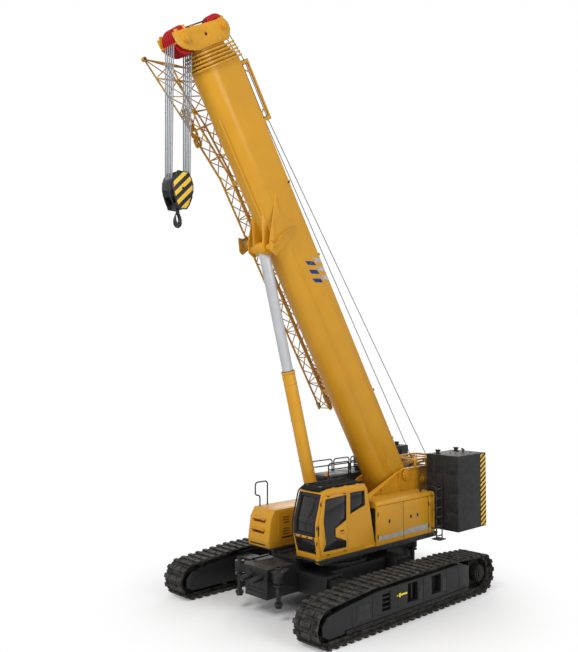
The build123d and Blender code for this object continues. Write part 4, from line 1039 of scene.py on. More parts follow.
# ---- Handrails ----
# Bent steel tube, bolted down through round foot plates: a railing on the engine roof and a
# stepped hoop by the nose steps. Charcoal paint.


def pipe_tree():
    """Geometry Nodes: round tube along every edge of a wire frame, with its corners bent."""
    tree, given = begin_tree("bent_tube", {"Tube Radius": 0.018, "Bend Radius": 0.08, "Sides": 12})
    run = add_node(tree, "MeshToCurve", {"Mesh": given["Geometry"]})
    turn = {"Curve": run, "Radius": given["Bend Radius"], "Count": 6, "Limit Radius": True}
    bend = add_node(tree, "FilletCurve", turn, mode="POLY")
    circle = {"Radius": given["Tube Radius"], "Resolution": given["Sides"]}
    section = add_node(tree, "CurvePrimitiveCircle", circle)
    tube = add_node(tree, "CurveToMesh", {"Curve": bend, "Profile Curve": section, "Fill Caps": True})
    return end_tree(tree, given, add_node(tree, "SetShadeSmooth", {"Geometry": tube}))


bent_tube = pipe_tree()


def tubing(name, runs, radius, bend, material, body="superstructure", sides=12):
    """Bent tubes that follow runs of points, each run one tube."""
    values = {"Tube Radius": radius, "Bend Radius": bend, "Sides": sides, "Material": material}
    return grown(name, run_mesh(name, runs), bent_tube, values, body)


rail_top = engine_top + 0.365
runs = []
for y in (-1.34, -0.64):
    for front_x, rear_x in ((-0.56, -1.46), (-1.54, -2.26), (-2.34, -3.1)):
        runs.append([(front_x, y, engine_top + 0.01), (front_x, y, rail_top), (rear_x, y, rail_top),
            (rear_x, y, engine_top + 0.01)])
        runs.append([(front_x, y, engine_top + 0.18), (rear_x, y, engine_top + 0.18)])
runs.append([(1.58, -1.345, 2.545), (1.58, -1.345, 2.84), (1.76, -1.345, 2.84), (1.76, -1.345, 3.215),
    (1.29, -1.345, 3.215), (1.29, -1.345, 2.545)])
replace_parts(tubing("railings", runs, 0.02, 0.09, charcoal_paint), "handrails")
for y in (-1.34, -0.64):
    for x in (-0.56, -1.46, -1.54, -2.26, -2.34, -3.1):
        add_post((x, y), engine_top, engine_top + 0.014, 0.04, 20)
for x in (1.58, 1.29):
    add_post((x, -1.345), 2.54, 2.556, 0.034, 20)
settle("railing_feet", charcoal_paint, 0.003)

# ---- Access ladder ----
# A tube ladder up the left rear corner with ribbed rungs and an open-grid step at its foot.
# Charcoal paint, worn bright where boots land.
ladder_front, ladder_rear = -2.98, -3.27
ladder_y = 1.55
tread = coating("tread", (0.014, 0.014, 0.015), 0.5, worn=(0.12, 0.11, 0.1), dust=0.1)
runs = []
for x in (ladder_rear, ladder_front):
    runs.append([(x, ladder_y, 1.325), (x, ladder_y, 2.885), (x, ladder_y - 0.19, 2.885)])
    runs.append([(x, 1.36, 1.65), (x, ladder_y, 1.65)] if x == ladder_front else [(ladder_front, ladder_y,
        1.65), (x, ladder_y, 1.65)])
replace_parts(tubing("ladder_stiles", runs, 0.019, 0.07, charcoal_paint), "access_ladder")
for k in range(6):
    z = 1.42 + 0.28 * k
    add_rod((ladder_rear, ladder_y, z), (ladder_front, ladder_y, z), 0.0165, 14)
    for j in range(5):
        x = ladder_rear + 0.05 + 0.0475 * j
        add_rod((x, ladder_y, z), (x + 0.012, ladder_y, z), 0.02, 14)
# the step grid at the foot
for k in range(6):
    y = 1.385 + 0.055 * k
    add_box((ladder_rear - 0.018, y, 1.302), (ladder_front + 0.018, y + 0.006, 1.328))
for k in range(5):
    x = ladder_rear - 0.018 + 0.0805 * k
    add_box((x, 1.382, 1.302), (x + 0.006, 1.668, 1.328))
for y in (1.381, 1.672):
    add_box((ladder_rear - 0.02, y, 1.3), (ladder_front + 0.02, y + 0.006, 1.33))
add_axle((ladder_front, 2.6), 1.362, ladder_y, 0.013, 12)
settle("ladder_treads", tread)

# ---- Cab shell ----
# A tilting operator's cab welded from pressed steel: slim pillars, a kinked windscreen, a
# rubber-sealed window on each side. Ochre outside, with black hinges and grab rails.
cab_inner, cab_face, cab_outer = 0.48, 1.319, 1.36
eased("cab_shell", ochre_paint, 0.014)
screen_foot, screen_knee, screen_head = (1.992, 2.11), (1.992, 2.47), (1.768, 3.2)


def band_round(outline, width, push):
    """A flat band that follows a closed outline, inside it, with thickness."""
    points = [Vector(p) for p in outline]
    count = len(points)
    middle = sum(points, Vector()) / count
    inner = []
    for before, point, after in zip(points[-1:] + points, points, points[1:] + points[:1]):
        into, away = (point - before).normalized(), (after - point).normalized()
        across = away - into
        if across.length < 1e-4:
            across = middle - point
        across.normalize()
        if across.dot(middle - point) < 0:
            across = -across
        inner.append(point + across * width / max(0.35, (1 - into.dot(away)) ** 0.5 / 2 ** 0.5))
    low = [[tool.verts.new(p) for p in line] for line in (points, inner)]
    high = [[tool.verts.new(p + Vector(push)) for p in line] for line in (points, inner)]
    for i in range(count):
        j = (i + 1) % count
        tool.faces.new((low[0][i], low[0][j], low[1][j], low[1][i]))
        tool.faces.new((high[0][j], high[0][i], high[1][i], high[1][j]))
        tool.faces.new((low[0][j], low[0][i], high[0][i], high[0][j]))
        tool.faces.new((low[1][i], low[1][j], high[1][j], high[1][i]))


# black borders round the two front panes, each following the kinked nose
pane_low, pane_high = 0.5, 1.3
for (x_a, z_a), (x_b, z_b), low_cap, high_cap in ((screen_foot, screen_knee, 0.08, 0.0),
        (screen_knee, screen_head, 0.0, 0.1)):
    run = Vector((x_b - x_a, 0, z_b - z_a))
    out = Vector((run.z, 0, -run.x)).normalized() * 0.006
    for y_a, y_b in ((pane_low, pane_low + 0.105), (pane_high - 0.105, pane_high)):
        add_sheet([(x_a, y_a, z_a), (x_a, y_b, z_a), (x_b, y_b, z_b), (x_b, y_a, z_b)], out)
    for cap, share in ((low_cap, 0.0), (high_cap, 1.0)):
        if cap:
            part = run.normalized() * cap
            start = Vector((x_a, 0, z_a)) if share == 0 else Vector((x_b, 0, z_b)) - part
            low, high = Vector((0, pane_low + 0.07, 0)), Vector((0, pane_high - 0.07, 0))
            add_sheet([start + low, start + high, start + part + high, start + part + low], out)
band_round([(1.884, 0.535, 1.64), (1.884, 1.265, 1.64), (1.988, 1.265, 2.045), (1.988, 0.535, 2.045)],
    0.045, (0.007, 0, -0.002))
# window rubber on the left rear, right and rear panes
band_round([(0.03, cab_face, 2.712), (0.652, cab_face, 2.547), (0.652, cab_face, 3.122),
    (0.062, cab_face, 3.122)], 0.03, (0, 0.004, 0))
band_round([(0.135, cab_inner, 2.235), (1.515, cab_inner, 2.235), (1.515, cab_inner, 3.095),
    (0.135, cab_inner, 3.095)], 0.034, (0, -0.008, 0))
band_round([(-0.218, 0.585, 2.285), (-0.052, 0.585, 3.095), (-0.052, 1.215, 3.095), (-0.218, 1.215, 2.285)],
    0.034, (-0.012, 0, 0.002))
settle("window_rubber", rubber, 0.002)

# ochre bar between the two front panes, the sill below, the corner lug, the roof gutter and drip rail
add_box((1.96, 0.5, 2.052), (2.006, 1.3, 2.106))
add_sheet([(1.862, 0.49, 1.502), (1.862, 1.318, 1.502), (1.893, 1.318, 1.632), (1.893, 0.49, 1.632)],
    (0.012, 0, 0))
add_plate(((1.7, 1.52), (1.9, 1.52), (1.9, 1.44), (1.86, 1.395), (1.78, 1.395), (1.72, 1.45)), 1.2, 0.115)
add_plate(((1.7, 1.52), (1.88, 1.52), (1.86, 1.42), (1.74, 1.42)), 0.5, 0.1)
for y in (0.485, 1.285):
    add_box((0.12, y, 3.292), (1.56, y + 0.03, 3.318))
add_box((-0.375, cab_face - 0.004, 1.515), (0.06, cab_face + 0.028, 1.56))
# small covers over the roof brackets
for x in (0.3, 0.78, 1.26):
    add_box((x, 1.262, 3.292), (x + 0.1, 1.316, 3.335))
settle("cab_trim_panels", ochre_paint, 0.006)

# black hinge lumps under the windscreen, lamps on the roof front, wiper and washer
for y in (0.56, 0.78, 1.02, 1.24):
    add_box((1.975, y - 0.035, 2.062), (2.016, y + 0.035, 2.098))
for y in (0.66, 1.16):
    add_box((1.6, y - 0.065, 3.3), (1.7, y + 0.065, 3.375))
for z in (1.95, 2.35, 2.95):
    lean = 0.0 if z < 2.5 else (z - 2.48) * 0.307
    add_post((1.958 - lean, cab_face + 0.006), z - 0.05, z + 0.05, 0.016, 12)
add_rod((1.998, 0.9, 2.16), (2.016, 0.9, 2.17), 0.022, 16)
add_rod((-0.4, 1.05, 1.72), (-0.425, 1.05, 1.72), 0.03, 16)
for z in (1.72, 2.1, 2.45):
    add_box((-0.432, 1.225, z - 0.05), (-0.398, 1.3, z + 0.05))
settle("cab_fittings", rubber, 0.004)
tubing("windscreen_wiper", [[(2.012, 0.9, 2.17), (2.012, 0.93, 2.44), (1.87, 1.1, 2.92)]], 0.006, 0.03,
    rubber, sides=8)
tubing("wiper_blade", [[(1.955, 1.05, 2.62), (1.802, 1.13, 3.1)]], 0.009, 0.01, rubber, sides=6)
runs = [[(1.96, 0.495, 2.03), (1.985, 0.455, 2.03), (2.0, 0.455, 2.48), (1.78, 0.455, 3.22),
    (1.6, 0.455, 3.32), (1.45, 0.52, 3.32)], [(1.86, cab_face + 0.004, 2.1), (1.9, cab_face + 0.02, 2.14),
    (1.9, cab_face + 0.02, 2.4), (1.86, cab_face + 0.004, 2.44)]]
tubing("cab_grab_rails", runs, 0.02, 0.12, charcoal_paint)
spots = bolt_rows([1.884], (0.62, 0.86, 1.1), [1.56], (1, 0, 0))
spots += bolt_rows((-0.3, 0.1, 0.5, 0.9, 1.3, 1.7), [cab_inner], [1.56], (0, -1, 0))
bolts("cab_bolts", spots, 0.011, ochre_paint)

# ---- Cab glass ----
# Laminated safety glass with a dark grey tint, bonded into the cab's frames with rubber. The
# door's pane is set in the door and slides with it.
glass_constants = {"Metallic": 0.0, "IOR": 1.5, "Alpha": 0.9, "Specular IOR Level": 0.35}
tinted_glass, tree, pane = shader("tinted_glass", glass_constants)
film = spread(tree, noise(tree, 1.6), 0.3, 0.7)
smear = spread(tree, noise(tree, 7.0, 6.0), 0.35, 0.75, 0.06, 0.16)
feed(tree, pane, {"Base Color": mixed(tree, film, (0.015, 0.0155, 0.0165), (0.02, 0.0205, 0.0215)),
    "Roughness": smear})
tinted_glass.surface_render_method = "BLENDED"
for node in ("cab_glass", "door_glass"):
    eased(node, tinted_glass, 0.002)

# ---- Cab door ----
# The sliding door: a pressed ochre panel whose window narrows in the middle, where the handle
# sits. Rubber runs round the glass.
eased("cab_door", ochre_paint, 0.007)
pane_outline = [(0.86, 1.7), (1.76, 1.72), (1.64, 1.91), (1.73, 2.5), (1.66, 3.06), (0.86, 3.09),
    (0.86, 2.43), (1.29, 2.26), (1.29, 2.03), (0.86, 1.87)]
ring = [Vector((x, cab_outer - 0.002, z)) for x, z in pane_outline]
joint = [ring[0].lerp(ring[-1], 0.5)]
add_tube(rounded_path(joint + ring + joint, 0.035, 4), 0.0085, 8)
settle("door_rubber", rubber, body="cab_door")
door_panel(0.955, 1.115, 2.075, 2.2, cab_outer, 1, 0.02, 0.006)
settle("handle_recess", ochre_paint, 0.003, "cab_door")
add_box((0.975, cab_outer + 0.004, 2.155), (1.095, cab_outer + 0.03, 2.178))
for x in (0.975, 1.085):
    add_box((x, cab_outer + 0.002, 2.15), (x + 0.012, cab_outer + 0.028, 2.182))
# runners at the foot and head
for z in (1.604, 3.126):
    for x in (0.92, 1.56):
        add_box((x - 0.05, cab_outer - 0.004, z), (x + 0.05, cab_outer + 0.008, z + 0.022))
settle("door_handle", rubber, 0.003, "cab_door")

# ---- Roof guard ----
# A black roof mat and bar grid over the cab, with a peak over the windscreen. Pressed steel and
# flat bar, painted matt black and bolted to the cab's roof.
mat_black = coating("mat_black", (0.0065, 0.0065, 0.007), 0.75, worn=0.015, dust=0.03, shine=0.12)
eased("roof_guard", mat_black, 0.006)
add_box((0.08, 0.56, 3.301), (1.6, 1.24, 3.322))
add_sheet([(1.6, 0.52, 3.335), (1.78, 0.55, 3.262), (1.78, 1.25, 3.262), (1.6, 1.28, 3.335)],
    (0.012, 0, 0.03))
add_sheet([(0.1, 0.58, 3.3), (0.1, 1.22, 3.3), (-0.08, 1.18, 3.24), (-0.08, 0.62, 3.24)],
    (-0.008, 0, 0.022))
for y in (0.52, 1.24):
    add_box((0.05, y, 3.301), (1.62, y + 0.035, 3.35))
settle("roof_mat", mat_black, 0.005)
louvres("roof_grid", (0.2, 0.9, 3.366), 12, (0.018, 0.74, 0.022), (0.118, 0, 0), (0, 0, 0), mat_black)

# ---- Operator's seat ----
# A sprung seat: foam cushions under black woven cloth, with a headrest, bolted through a
# suspension box of folded steel to the cab's floor.
cloth, tree, weave = shader("seat_cloth", {"Sheen Weight": 0.25, "Roughness": 0.85})
threads = add_node(tree, "TexWave", {"Vector": add_node(tree, "TexCoord", give="Object"), "Scale": 160.0,
    "Distortion": 1.5}, "Fac")
grain = add_node(tree, "Bump", {"Strength": 0.4, "Distance": 0.001, "Height": threads})
feed(tree, weave, {"Base Color": mixed(tree, threads, (0.018, 0.018, 0.02), (0.04, 0.04, 0.044)),
    "Normal": grain})
seat_y = 0.8995


def cushion(name, low, high, tip=0.0, pivot=(0, 0, 0), crown=0.02):
    """A crowned foam pad: a rounded block whose faces swell and whose edges pull in."""
    low, high = Vector(low), Vector(high)
    size = high - low
    bmesh.ops.create_cube(tool, size=1.0)
    bmesh.ops.subdivide_edges(tool, edges=tool.edges, cuts=7, use_grid_fill=True)
    for vert in tool.verts:
        x, y, z = vert.co * 2
        swell = Vector((x * (1 - 0.5 * (y * y + z * z)), y * (1 - 0.5 * (x * x + z * z)),
            z * (1 - 0.5 * (x * x + y * y))))
        pull = 1 - 0.05 * (abs(x * y) ** 4 + abs(y * z) ** 4 + abs(x * z) ** 4)
        channel = -0.01 if abs(abs(y) - 0.5) < 0.1 else 0.0
        vert.co = vert.co * size * pull + swell * (crown * 0.6 + channel * 0.5) + (low + high) / 2
    turn = Matrix.Translation(pivot) @ Matrix.Rotation(tip, 4, "Y") @ Matrix.Translation(-Vector(pivot))
    bmesh.ops.transform(tool, matrix=turn, verts=tool.verts)
    settle(name, cloth, smooth=60.0)


cushion("seat_cushion", (0.565, seat_y - 0.245, 1.84), (1.075, seat_y + 0.245, 1.965))
cushion("seat_back", (0.535, seat_y - 0.235, 1.945), (0.655, seat_y + 0.235, 2.52), -0.22,
    (0.6, seat_y, 1.94))
cushion("seat_headrest", (0.545, seat_y - 0.13, 2.53), (0.635, seat_y + 0.13, 2.66), -0.22,
    (0.6, seat_y, 1.94), 0.01)
add_box((0.66, seat_y - 0.175, 1.562), (0.99, seat_y + 0.175, 1.7))
add_box((0.7, seat_y - 0.12, 1.7), (0.95, seat_y + 0.12, 1.78))
add_box((0.61, seat_y - 0.21, 1.78), (1.04, seat_y + 0.21, 1.838))
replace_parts(settle("seat_frame", rubber, 0.006), "operator_seat")

# ---- Control console ----
# Moulded arm consoles with a joystick each, and a front panel with a screen and two travel
# levers. Textured dark plastic.
trim_plastic = coating("trim_plastic", (0.016, 0.0165, 0.018), 0.6, worn=0.04, dust=0.05,
    ripple=0.002)
eased("control_console", trim_plastic, 0.018)
screen_face = coating("screen_face", (0.01, 0.012, 0.015), 0.12)
for way in (-1, 1):
    y = seat_y + way * 0.3
    add_rod((1.02, y, 2.135), (1.035, y, 2.235), 0.013, 12)
    add_rod((1.02, y, 2.135), (1.022, y, 2.155), 0.03, 16, 0.016)
    add_rod((1.033, y, 2.225), (1.042, y, 2.3), 0.021, 14, 0.026)
    add_rod((1.56, seat_y + way * 0.09, 2.115), (1.5, seat_y + way * 0.09, 2.42), 0.011, 10)
    add_rod((1.505, seat_y + way * 0.09, 2.4), (1.49, seat_y + way * 0.09, 2.48), 0.02, 12)
add_box((1.585, seat_y - 0.22, 2.118), (1.615, seat_y - 0.02, 2.25))
settle("console_levers", trim_plastic, 0.003)
add_box((1.58, seat_y - 0.205, 2.135), (1.5855, seat_y - 0.035, 2.238))
settle("console_screen", screen_face, 0.001)

# ---- Boom ----
# Six nested box sections bent from high-strength plate, with a rounded underside and a
# welded seam where side and underside meet. Ochre paint, blue and grey stripes on the left.
boom_angle = radians(58.8)
along = Vector((cos(boom_angle), 0, sin(boom_angle)))
outward = Vector((-sin(boom_angle), 0, cos(boom_angle)))
foot_pin = Vector((-2.77, 0, 3.2))
boom_half, boom_back, boom_round = 0.42, 0.205, -0.62
boom_end, collar_pitch, collar_length = 13.2, 0.092, 0.05


def on_boom(s, u, y=0.0):
    """A point at a distance along the boom, a height off its back, and a side."""
    return foot_pin + along * s + outward * u + Vector((0, y, 0))


def round_boom(inset, steps=24):
    """The boom's cross-section as (y, u) points, drawn in from the base section's outside."""
    half = boom_half - inset
    line = [(half, boom_back - inset)]
    for k in range(steps + 1):
        angle = pi * k / steps
        line.append((half * cos(angle), boom_round - half * sin(angle)))
    return line + [(-half, boom_back - inset)]


def boom_plate(outline, side, push):
    """Add a plate that stands along the boom: its outline in s and u, where it stands, and its thickness."""
    add_sheet([on_boom(s, u, side) for s, u in outline], (0, push, 0))


def section_band(outer, inner, low_s, high_s):
    """A closed band round the boom between two insets."""
    corners = ((outer, low_s), (outer, high_s), (inner, high_s), (inner, low_s))
    ring_of([[on_boom(s, u, y) for y, u in round_boom(inset)] for inset, s in corners])


boom_bodies = ["base_boom", "section_2", "section_3", "section_4", "section_5", "head_section"]
eased("boom_base", ochre_paint, 0.005)
for index in range(2, 6):
    eased(f"boom_section_{index}", ochre_paint, 0.003)
# felt wipers in front of each collar, dark as real felt and as painted shade for the gaps between collars,
# and the collar's corner pads, bolts and hose rollers
felt = coating("felt", (0.02, 0.017, 0.013), 0.9, dust=0.2)
for index in range(5):
    front = boom_end + index * collar_pitch + collar_length
    section_band((index + 1) * 0.03 - 0.012, (index + 1) * 0.03 - 0.003, front, front + 0.016)
    top, side = (edge + 0.055 - index * 0.02 for edge in (boom_back, boom_half))
    for way in (-1, 1):
        for y in (0.33, 0.17):
            add_axle(on_boom(front - 0.025, top + 0.105), way * (y - 0.04), way * (y + 0.04), 0.026, 14)
    settle(f"wiper_{index + 1}", felt, body=boom_bodies[index])
    for way in (-1, 1):
        for y in (0.33, 0.17):
            for edge in (-0.052, 0.043):
                boom_plate(((front - 0.048, top - 0.004), (front - 0.002, top - 0.004),
                    (front - 0.008, top + 0.13), (front - 0.042, top + 0.13)), way * y + edge, 0.009)
        # pad covers on the flat sides and under the curve
        for u in (0.02, -0.42):
            low, high = front - 0.046, front - 0.004
            boom_plate(((low, u - 0.1), (high, u - 0.1), (high, u + 0.1), (low, u + 0.1)), way * side,
                way * 0.008)
        for angle in (0.9, 1.25):
            ray = Vector((0, way * cos(angle), 0)) - outward * sin(angle)
            spot = on_boom(front - 0.025, boom_round) + ray * (side - 0.004)
            add_rod(spot, spot + ray * 0.04, 0.02, 10)
            add_rod(spot, spot + ray * 0.022, 0.034, 6)
    settle(f"collar_fittings_{index + 1}", ochre_paint, 0.002, boom_bodies[index])

for way in (-1, 1):
    # weld beads where the sides meet the rounded underside, and at the plate joints
    add_tube([on_boom(-0.2 + 0.7 * k, boom_round, way * boom_half) for k in range(12)], 0.005, 6)
    for s in (4.15, 7.42):
        seam = [on_boom(s, boom_back - 0.005, way * boom_half), on_boom(s, boom_round, way * boom_half)]
        seam += [on_boom(s, boom_round - boom_half * sin(0.12 * k), way * boom_half * cos(0.12 * k))
            for k in range(1, 13)]
        add_tube(seam, 0.004, 6)
    # the slim cable duct along the underside
    if way > 0:
        angle = radians(70)
        ray = Vector((0, cos(angle), 0)) - outward * sin(angle)
        route = [(9.04, 0.0), (9.09, 0.022), (9.2, 0.03), (11.78, 0.03), (11.9, 0.022), (11.95, 0.0)]
        add_tube([on_boom(s, boom_round) + ray * (boom_half + lift) for s, lift in route], 0.034, 16)
    # gussets that run out from the cylinder's boss over the wing plate: s, u, height
    for gusset in (((8.45, -1.31, 0.085), (8.6, -0.86, 0.075), (8.585, -0.47, 0.045), (8.56, -0.2, 0.004)),
            ((8.6, -1.27, 0.08), (8.88, -1.02, 0.055), (9.16, -0.79, 0.004)),
            ((8.37, -1.28, 0.06), (8.34, -0.98, 0.004))):
        for (s_a, u_a, high_a), (s_b, u_b, high_b) in zip(gusset, gusset[1:]):
            across = (along * (u_b - u_a) - outward * (s_b - s_a)).normalized() * 0.024
            face = boom_half + 0.028
            outline = ((s_a, u_a, 0), (s_b, u_b, 0), (s_b, u_b, high_b), (s_a, u_a, high_a))
            add_sheet([on_boom(s, u, way * (face + high)) for s, u, high in outline], across)
    # lifting eyes on the back edge
    for s in (1.2, 9.72):
        boom_plate(((s - 0.06, boom_back - 0.01), (s + 0.06, boom_back - 0.01),
            (s + 0.03, boom_back + 0.055), (s - 0.03, boom_back + 0.055)), way * 0.4, -way * 0.02)
    # stiffening rib along the foot, over the pin boss
    boom_plate(((-0.12, 0.1), (0.75, 0.02), (1.35, -0.22), (0.75, -0.44), (-0.12, -0.3)), way * boom_half,
        way * 0.01)
# keeper plates on the foot pin and on the cylinder's upper pin
eye_pin = Vector((2.661, 0, 9.755))
for way in (-1, 1):
    spot = eye_pin + Vector((0, way * 0.478, 0))
    add_rod(spot, spot + Vector((0, way * 0.016, 0)), 0.088, 28)
    add_rod(spot, spot + Vector((0, way * 0.026, 0)), 0.034, 20)
settle("boom_welds", ochre_paint, body="base_boom")
spots = []
for way in (-1, 1):
    spots += bolt_circle((eye_pin.x, way * 0.494, eye_pin.z), 0.062, 6, (0, way, 0))
bolts("eye_pin_bolts", spots, 0.009, ochre_paint, "base_boom")
add_axle(on_boom(9.71, 0.17), boom_half, boom_half + 0.012, 0.03, 16)
add_rod(on_boom(9.1, -0.98, 0.16), on_boom(9.1, -0.99, 0.165), 0.02, 8)
settle("boom_plug", felt, 0.002, "base_boom")

# three pairs of slanted stripes on the left side
stripe_blue = coating("stripe_blue", (0.003, 0.034, 0.16), 0.5, shine=0.2)
stripe_grey = coating("stripe_grey", (0.33, 0.34, 0.34), 0.35)
stripe_pitch = 0.272
film = 0.0012
for label, paint, shape in (("blue", stripe_blue, ((7.58, -0.38), (7.425, -0.09), (7.28, -0.045),
        (7.435, -0.34))), ("grey", stripe_grey, ((7.525, -0.07), (7.385, 0.2), (7.245, 0.2),
        (7.372, -0.015)))):
    for k in range(3):
        boom_plate([(s - k * stripe_pitch, u) for s, u in shape], boom_half + 0.0004, film)
    settle(f"boom_stripes_{label}", paint, body="base_boom")

# ---- Boom head ----
# Two flame-cut cheeks welded to the inmost section, with bored bosses for the sheave pins,
# rope keepers, and small lugs at either end. Ochre paint.
eased("boom_head", ochre_paint, 0.006)
head_s, front_u, rear_u = 14.05, -1.14, 0.19
front_pin, rear_pin = on_boom(head_s, front_u), on_boom(head_s, rear_u)
cheek_y = 0.335
for way in (-1, 1):
    for pin in (front_pin, rear_pin):
        add_axle(pin, way * 0.385, way * 0.4, 0.098, 32)
        add_axle(pin, way * 0.385, way * 0.41, 0.036, 20)
    # stiffener along the cheek's lower edge and a doubler in its middle
    boom_plate(((13.72, -0.1), (13.72, -0.52), (13.76, -0.52), (13.76, -0.1)), way * cheek_y, way * 0.022)
    boom_plate(((13.74, 0.06), (13.92, 0.02), (13.96, -0.12), (13.74, -0.16)), way * cheek_y, way * 0.01)
    # ears at the front and rear corners, with a tie rod each
    for low_u, high_u, s in ((-1.44, -1.28, head_s + 0.2), (0.2, 0.32, head_s + 0.14)):
        boom_plate(((s - 0.06, low_u), (s + 0.09, low_u + 0.03), (s + 0.09, high_u - 0.03),
            (s - 0.06, high_u)), way * (cheek_y - 0.03), way * 0.022)
for s, u in ((head_s + 0.215, -1.3), (head_s + 0.175, 0.26), (head_s - 0.02, -1.445)):
    add_axle(on_boom(s, u), -0.325, 0.325, 0.024, 16)
# the rope-end anchor between the cheeks and its nut
low, high = head_s + 0.1, head_s + 0.24
boom_plate(((low, -0.86), (high, -0.86), (high, -0.7), (low, -0.7)), 0.2, 0.1)
settle("head_fittings", ochre_paint, 0.004, "head_section")
spots = []
for way in (-1, 1):
    for pin in (front_pin, rear_pin):
        spots += bolt_circle((pin.x, way * 0.399, pin.z), 0.076, 8, (0, way, 0))
bolts("head_pin_bolts", spots, 0.01, ochre_paint, "head_section")
# the jib pin's bore as a dark disc, painted shade for the hole, then the cable drum's cover and the
# hoist-limit lamp
for way in (-1, 1):
    add_axle(on_boom(head_s - 0.06, -0.48), way * (cheek_y - 0.001), way * (cheek_y + 0.0025), 0.03, 20)
for s, u in ((head_s - 0.1, -1.02), (head_s + 0.22, -0.95)):
    add_axle(on_boom(s, u), cheek_y - 0.002, cheek_y + 0.006, 0.014, 12)
settle("head_bores", felt, body="head_section")
add_rod(on_boom(head_s + 0.18, -1.02, 0.25), on_boom(head_s + 0.32, -1.02, 0.25), 0.04, 20)
add_rod(on_boom(head_s + 0.32, -1.02, 0.25), on_boom(head_s + 0.335, -1.02, 0.25), 0.032, 20)
settle("head_lamp", amber, 0.004, "head_section")

# ---- Head sheaves ----
# Cast nylon sheaves, red, five in front and three behind, each turned with a rope groove,
# a dished web and a bearing cap.
red_nylon = coating("red_nylon", (0.46, 0.008, 0.013), 0.5, worn=(0.38, 0.01, 0.015),
    dust=0.05)
sheave_pitch, sheave_rim, groove_bottom = 0.086, 0.355, 0.252


def turned(centre, profile, sides=56):
    """A body of revolution about a line along Y: the profile is (y, radius) pairs, closed."""
    angles = [2 * pi * k / sides for k in range(sides)]
    centre = Vector(centre)
    return ring_of([[centre + Vector((radius * cos(a), y, radius * sin(a))) for a in angles] for y,
        radius in profile])


def sheave_set(name, node, centre, count, pitch, rim, groove, material, body):
    """Sheaves side by side on one pin."""
    half = pitch / 2 - 0.0035
    lip = half - 0.009
    left = [(-half, rim - 0.006), (0.006 - half, rim), (-lip, rim), (-0.019, groove + 0.022),
        (-0.011, groove + 0.005)]
    foot = [(half, groove - 0.022), (half - 0.016, groove - 0.04), (half - 0.016, 0.125), (half, 0.112),
        (half, 0.066)]
    profile = left + [(0, groove)] + [(-y, radius) for y, radius in reversed(left)] + foot
    profile += [(-y, radius) for y, radius in reversed(foot)]
    for k in range(count):
        turned(centre, [((k - (count - 1) / 2) * pitch + y, radius) for y, radius in profile])
    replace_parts(settle(name, material, body=body, smooth=32.0), node)


sheave_set("front_sheave_set", "front_head_sheaves", front_pin, 5, sheave_pitch, sheave_rim, groove_bottom,
    red_nylon, "front_sheaves")
sheave_set("rear_sheave_set", "rear_head_sheaves", rear_pin, 3, sheave_pitch, sheave_rim, groove_bottom,
    red_nylon, "rear_sheaves")

# ---- Rope guide ----
# A welded frame on the boom's back that holds the hoist ropes off it, with a nylon roller at
# each end and a hook bracket lower down. Ochre paint.
eased("rope_guide", ochre_paint, 0.005)
for s in (11.46, 13.02):
    for k in range(2):
        y = -0.066 + 0.132 * k
        turned(on_boom(s, 0.62, y), [(-0.06, 0.062), (-0.052, 0.068), (-0.012, 0.055), (0.012, 0.055),
            (0.052, 0.068), (0.06, 0.062), (0.06, 0.0505), (-0.06, 0.0505)], 24)
for s in (2.81, 7.41):
    turned(on_boom(s, 0.455), [(-0.19, 0.034), (-0.18, 0.04), (-0.02, 0.029), (0.02, 0.029), (0.18, 0.04),
        (0.19, 0.034), (0.19, 0.0255), (-0.19, 0.0255)], 20)
settle("guide_rollers", rubber, body="base_boom", smooth=40.0)
for way in (-1, 1):
    for s, lean in ((11.46, 0.1), (13.02, -0.1)):
        base = ((-0.1, -0.045), (0.1, -0.045), (0.1, 0.045), (-0.1, 0.045))
        add_sheet([on_boom(s + ahead, boom_back - 0.002, way * 0.15 + side) for ahead, side in base],
            outward * 0.014)
        boom_plate(((s + lean * 0.25, 0.3), (s + lean * 3.0, 0.675), (s + lean * 3.6, 0.675),
            (s + lean * 0.25, 0.24)), way * 0.15 - 0.006, 0.012)
settle("guide_gussets", ochre_paint, 0.003, "base_boom")

# ---- Hoist ropes behind the boom ----
# Steel wire rope: one from each winch, up behind the boom, over the guide's rollers and the
# rear sheaves, and across the top of the head to the front sheaves.
rope_radius = 0.27
rope_size = 0.013


def lay_tree():
    """Geometry Nodes: stranded rope along a route, with the strands laid in a long twist."""
    sizes = {"Rope Radius": 0.013, "Strand Depth": 0.011, "Lay Length": 0.2, "Step": 0.03, "Strands": 6}
    tree, given = begin_tree("stranded_rope", sizes)
    run = add_node(tree, "MeshToCurve", {"Mesh": given["Geometry"]})
    even = add_node(tree, "ResampleCurve", {"Curve": run, "Length": given["Step"]}, mode="LENGTH")
    laps = figure(tree, "DIVIDE", add_node(tree, "SplineParameter", give="Length"), given["Lay Length"])
    twisted = add_node(tree, "SetCurveTilt", {"Curve": even, "Tilt": figure(tree, "MULTIPLY", laps,
        2 * pi)})
    star = {"Points": given["Strands"], "Outer Radius": given["Rope Radius"],
        "Inner Radius": given["Strand Depth"]}
    cut = {"Curve": twisted, "Profile Curve": add_node(tree, "CurveStar", star), "Fill Caps": True}
    tube = add_node(tree, "CurveToMesh", cut)
    return end_tree(tree, given, add_node(tree, "SetShadeSmooth", {"Geometry": tube}))


stranded_rope = lay_tree()


def wire_ropes(name, routes, body, material, step=0.03, size=rope_size):
    """Stranded ropes along routes of points."""
    values = {"Rope Radius": size, "Strand Depth": size * 0.86, "Lay Length": 0.21, "Step": step,
        "Strands": 6, "Material": material}
    return grown(name, run_mesh(name, routes), stranded_rope, values, body)


